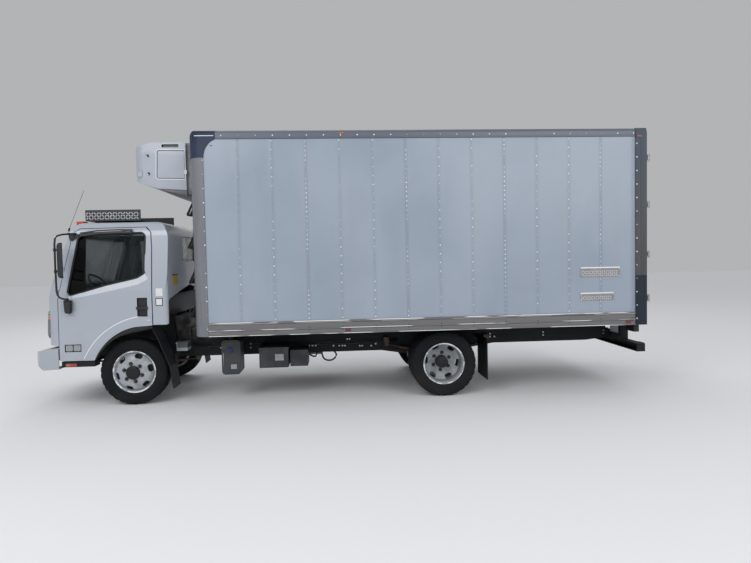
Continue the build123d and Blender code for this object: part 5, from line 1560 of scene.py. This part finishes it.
# Darker towards the bottom
darker_towards_bottom = ((2.66 - z) / 0.12).clamped()
panel = unit_dark.mix(rubbed, (0.24, 0.26, 0.29), (0.15, 0.15, 0.155))
unit_dark.paint(darker_towards_bottom * 0.8, panel, (0.045, 0.040, 0.037))
PAN_HALF = 0.935
PAN_SIDE = [(0.250, 2.676), (0.360, 2.638), (0.711, 2.618), (0.711, 2.545), (0.640, 2.560), (0.360, 2.630)]
outline = [spot(px, -PAN_HALF, pz) for px, pz in PAN_SIDE]
pan = slab("unit_pan", outline, Vector((0, 2 * PAN_HALF, 0)), unit_dark, "chassis", "dark_plastic")
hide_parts("unit_frame")
PANEL = upright(-0.910, 0.910, 2.545, 3.184)
outline = [spot(0.711, py, pz) for py, pz in rounded(PANEL, [0.02] * 4)]
depth = Vector((0.094, 0, 0))
back_panel = slab("unit_back_panel", outline, depth, unit_dark, "chassis", "dark_plastic")
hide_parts("unit_frame")

SERVICE_DOOR = [(0.352, 2.742), (0.366, 3.100), (0.704, 3.094), (0.704, 2.735)]
LATCHES = [(0.265, 3.024), (0.270, 2.810)]
HOOD_HALF = 0.950
# title, x, x, z, z, y, thickness, finish, slot, corner radius
UNIT_PLATES = [
    ("unit_label_edge", 0.138, 0.196, 2.772, 2.842, 0.9495, 0.0015, rail_plate, "unit_shell", 0.008),
    ("unit_label", 0.142, 0.192, 2.776, 2.838, 0.9505, 0.0015, unit_plastic, "unit_shell", 0.006),
    ("unit_door_catch", 0.690, 0.722, 2.800, 2.850, 0.9500, 0.010, zinc, "bare_steel", 0.006),
]
# The lip round the service door is painted much lighter than the hood, as a highlight
lip_highlight_white = Finish("lip_highlight_white", (0.78, 0.80, 0.82), 0.3)
lip_highlight_white.uneven(0.25, 0.15, 8.0, 3.0)
frame_line = rounded(SERVICE_DOOR, [0.028, 0.028, 0.012, 0.012])
for name, side in SIDES:
    rows = []
    for by, out in ((-0.006, -0.002), (-0.004, 0.006), (0.002, 0.006), (0.005, -0.002)):
        rows.append([spot(px, side * (HOOD_HALF + out), pz) for px, pz in shifted(frame_line, by)])
    trim(f"unit_door_lip_{name}", rows, lip_highlight_white, "chassis", "unit_shell")
    knobs = [spot(px, side * 0.952, pz) for px, pz in LATCHES]
    heads(f"unit_latches_{name}", "stud", knobs, "side", 0.015, 0.008, hub_black, "chassis", "dark_plastic")
    # Painted highlights: a small bright head beside each latch knob stands for its glint
    latch_glints = [spot(px - 0.008, side * 0.957, pz - 0.008) for px, pz in LATCHES]
    title = f"unit_latch_slots_{name}"
    heads(title, "bolt", latch_glints, "side", 0.006, 0.006, bright_metal_and_highlight, "chassis", "bare_steel")
    for title, *place, y, thick, finish, slot, radius in UNIT_PLATES:
        side_plate(f"{title}_{name}", *place, side * y, thick, finish, "chassis", slot, radius)
# The panel's bolts: two at each end, and four more along its foot that the hood leaves free
bolt_places = [(y, z) for y in (-0.895, -0.6, -0.3, 0.3, 0.6, 0.895) for z in (2.580, 3.150)]
panel_bolts = [spot(0.7105, y, z) for y, z in bolt_places if z < 3 or abs(y) > 0.8]
heads("unit_panel_bolts", "bolt", panel_bolts, "front", 0.013, 0.008, zinc, "chassis", "bare_steel")
wear(chassis_black, "wall_steps")


# The rear frame: painted posts and header round two insulated doors, with rubber gaskets, plated
# hinges and lock rods, a step bumper, tail lamps and a blank plate.
frame_paint = Finish("rear_frame_paint", (0.06, 0.075, 0.10), 0.5, Specular_IOR_Level=0.3)
x, y, z = frame_paint.place()
wiped = frame_paint.noise(4.0, 4.0, (3, 3, 0.4))
upper = frame_paint.mix(wiped, (0.050, 0.052, 0.056), (0.100, 0.098, 0.098))
high = ((z - 1.9) / 1.2).clamped()
upper = frame_paint.mix(high * 0.7, upper, (0.060, 0.085, 0.115))
lower = frame_paint.mix(wiped, (0.007, 0.013, 0.024), (0.018, 0.027, 0.042))
REPAINTED_BELOW = 1.464
coat = frame_paint.mix(z < REPAINTED_BELOW, upper, lower)
crease = inside(x - AXLE_X, 6.2405, 6.2475) * (z < 3.19)
coat = frame_paint.mix(crease * 0.6, coat, (0.018, 0.02, 0.026))
FRAME_FACE_X = 6.3205
lugs = (x - AXLE_X) > FRAME_FACE_X
frame_paint.paint(lugs, coat, (0.34, 0.34, 0.33))
frame_paint.feed("Metallic", 0.8 * lugs)
wear(frame_paint, "rear_posts", "rear_header_sill")
wear(chassis_black, "rear_bumper")

post_rivets = [spot(6.192, side * 1.2405, 0.93 + 0.165 * n) for side in (-1, 1) for n in range(14)]
kind, radius, height, finish, slot = HEAD_ROWS["rail_rivets"]
heads("post_rivets", kind, post_rivets, "side", radius, height, finish, "chassis", slot)
lens_red = Finish("tail_lens", (0.33, 0.012, 0.02), 0.15, Coat_Weight=1.0)
lens_red.grain(90.0, 1.0, 0.4, 0.002)
HEADER_LAMPS = {"left": -1.08, "inner_left": -0.30, "middle": 0.0, "inner_right": 0.30, "right": 1.08}
for name, y in HEADER_LAMPS.items():
    place = (y - 0.035, y + 0.035, 3.136, 3.164, 6.3185)
    end_plate(f"header_lamp_{name}", *place, 0.014, lens_red, "chassis", "lamp_lens", 0.008)
for name, side in SIDES:
    title = f"top_marker_rear_{name}"
    side_plate(title, 6.190, 6.250, 3.150, 3.174, side * 1.2395, 0.010, marker_red, "chassis", "lamp_lens")

HINGE_HEIGHTS = (1.180, 1.720, 2.330, 2.900)
LEAF_X = 6.325
LEAF = upright(0.022, 1.116, 1.022, 3.092)
for name, side in SIDES:
    body = f"rear_door_{name}"
    gasket_line = rounded([(side * py, pz) for py, pz in LEAF][::side], [0.02] * 4)
    rows = []
    for by, out in ((-0.012, -0.002), (-0.009, 0.004), (0.009, 0.004), (0.012, -0.002)):
        rows.append([spot(LEAF_X + out, py, pz) for py, pz in shifted(gasket_line, by)])
    trim(f"door_gasket_{name}", rows, seal_rubber, body, "rubber")
    straps = []
    for z in HINGE_HEIGHTS:
        straps += [spot(6.3365, side * py, z + k) for py in (0.925, 1.02, 1.10) for k in (-0.012, 0.012)]
    heads(f"hinge_bolts_{name}", "rivet", straps, "front", 0.007, 0.004, zinc, body, "bare_steel")

lamp_case = Finish("tail_lamp_case", (0.012, 0.012, 0.013), 0.45)
lamp_case.uneven(0.4, 0.2, 30.0, 2.0)
wear(lamp_case, "rear_lamps")
lens_clear = Finish("reverse_lens", (0.62, 0.64, 0.66), 0.15, Coat_Weight=1.0)
lens_clear.grain(90.0, 1.0, 0.4, 0.002)
LENS_PROFILE = [(6.320, 0.034), (6.327, 0.034), (6.331, 0.026), (6.332, 0.001)]
TAIL_LENSES = [("stop", 1.003, lens_red), ("turn", 0.930, marker_amber), ("reverse", 0.857, lens_clear)]
for name, side in SIDES:
    for label, y, finish in TAIL_LENSES:
        mesh = bmesh.new()
        turned_forward(mesh, LENS_PROFILE, side * y, 0.792)
        closed_piece(f"tail_{label}_{name}", mesh, finish, "chassis", "lamp_lens", True)
place = (-0.700, -0.395, 0.612, 0.764, 6.2605)
end_plate("rear_plate", *place, 0.003, sign_white_and_glint, "chassis", "white_paint", 0.012)
plate_screws = [spot(6.2645, y, 0.748) for y in (-0.636, -0.459)]
heads("rear_plate_screws", "bolt", plate_screws, "front", 0.007, 0.003, zinc, "chassis", "bare_steel")
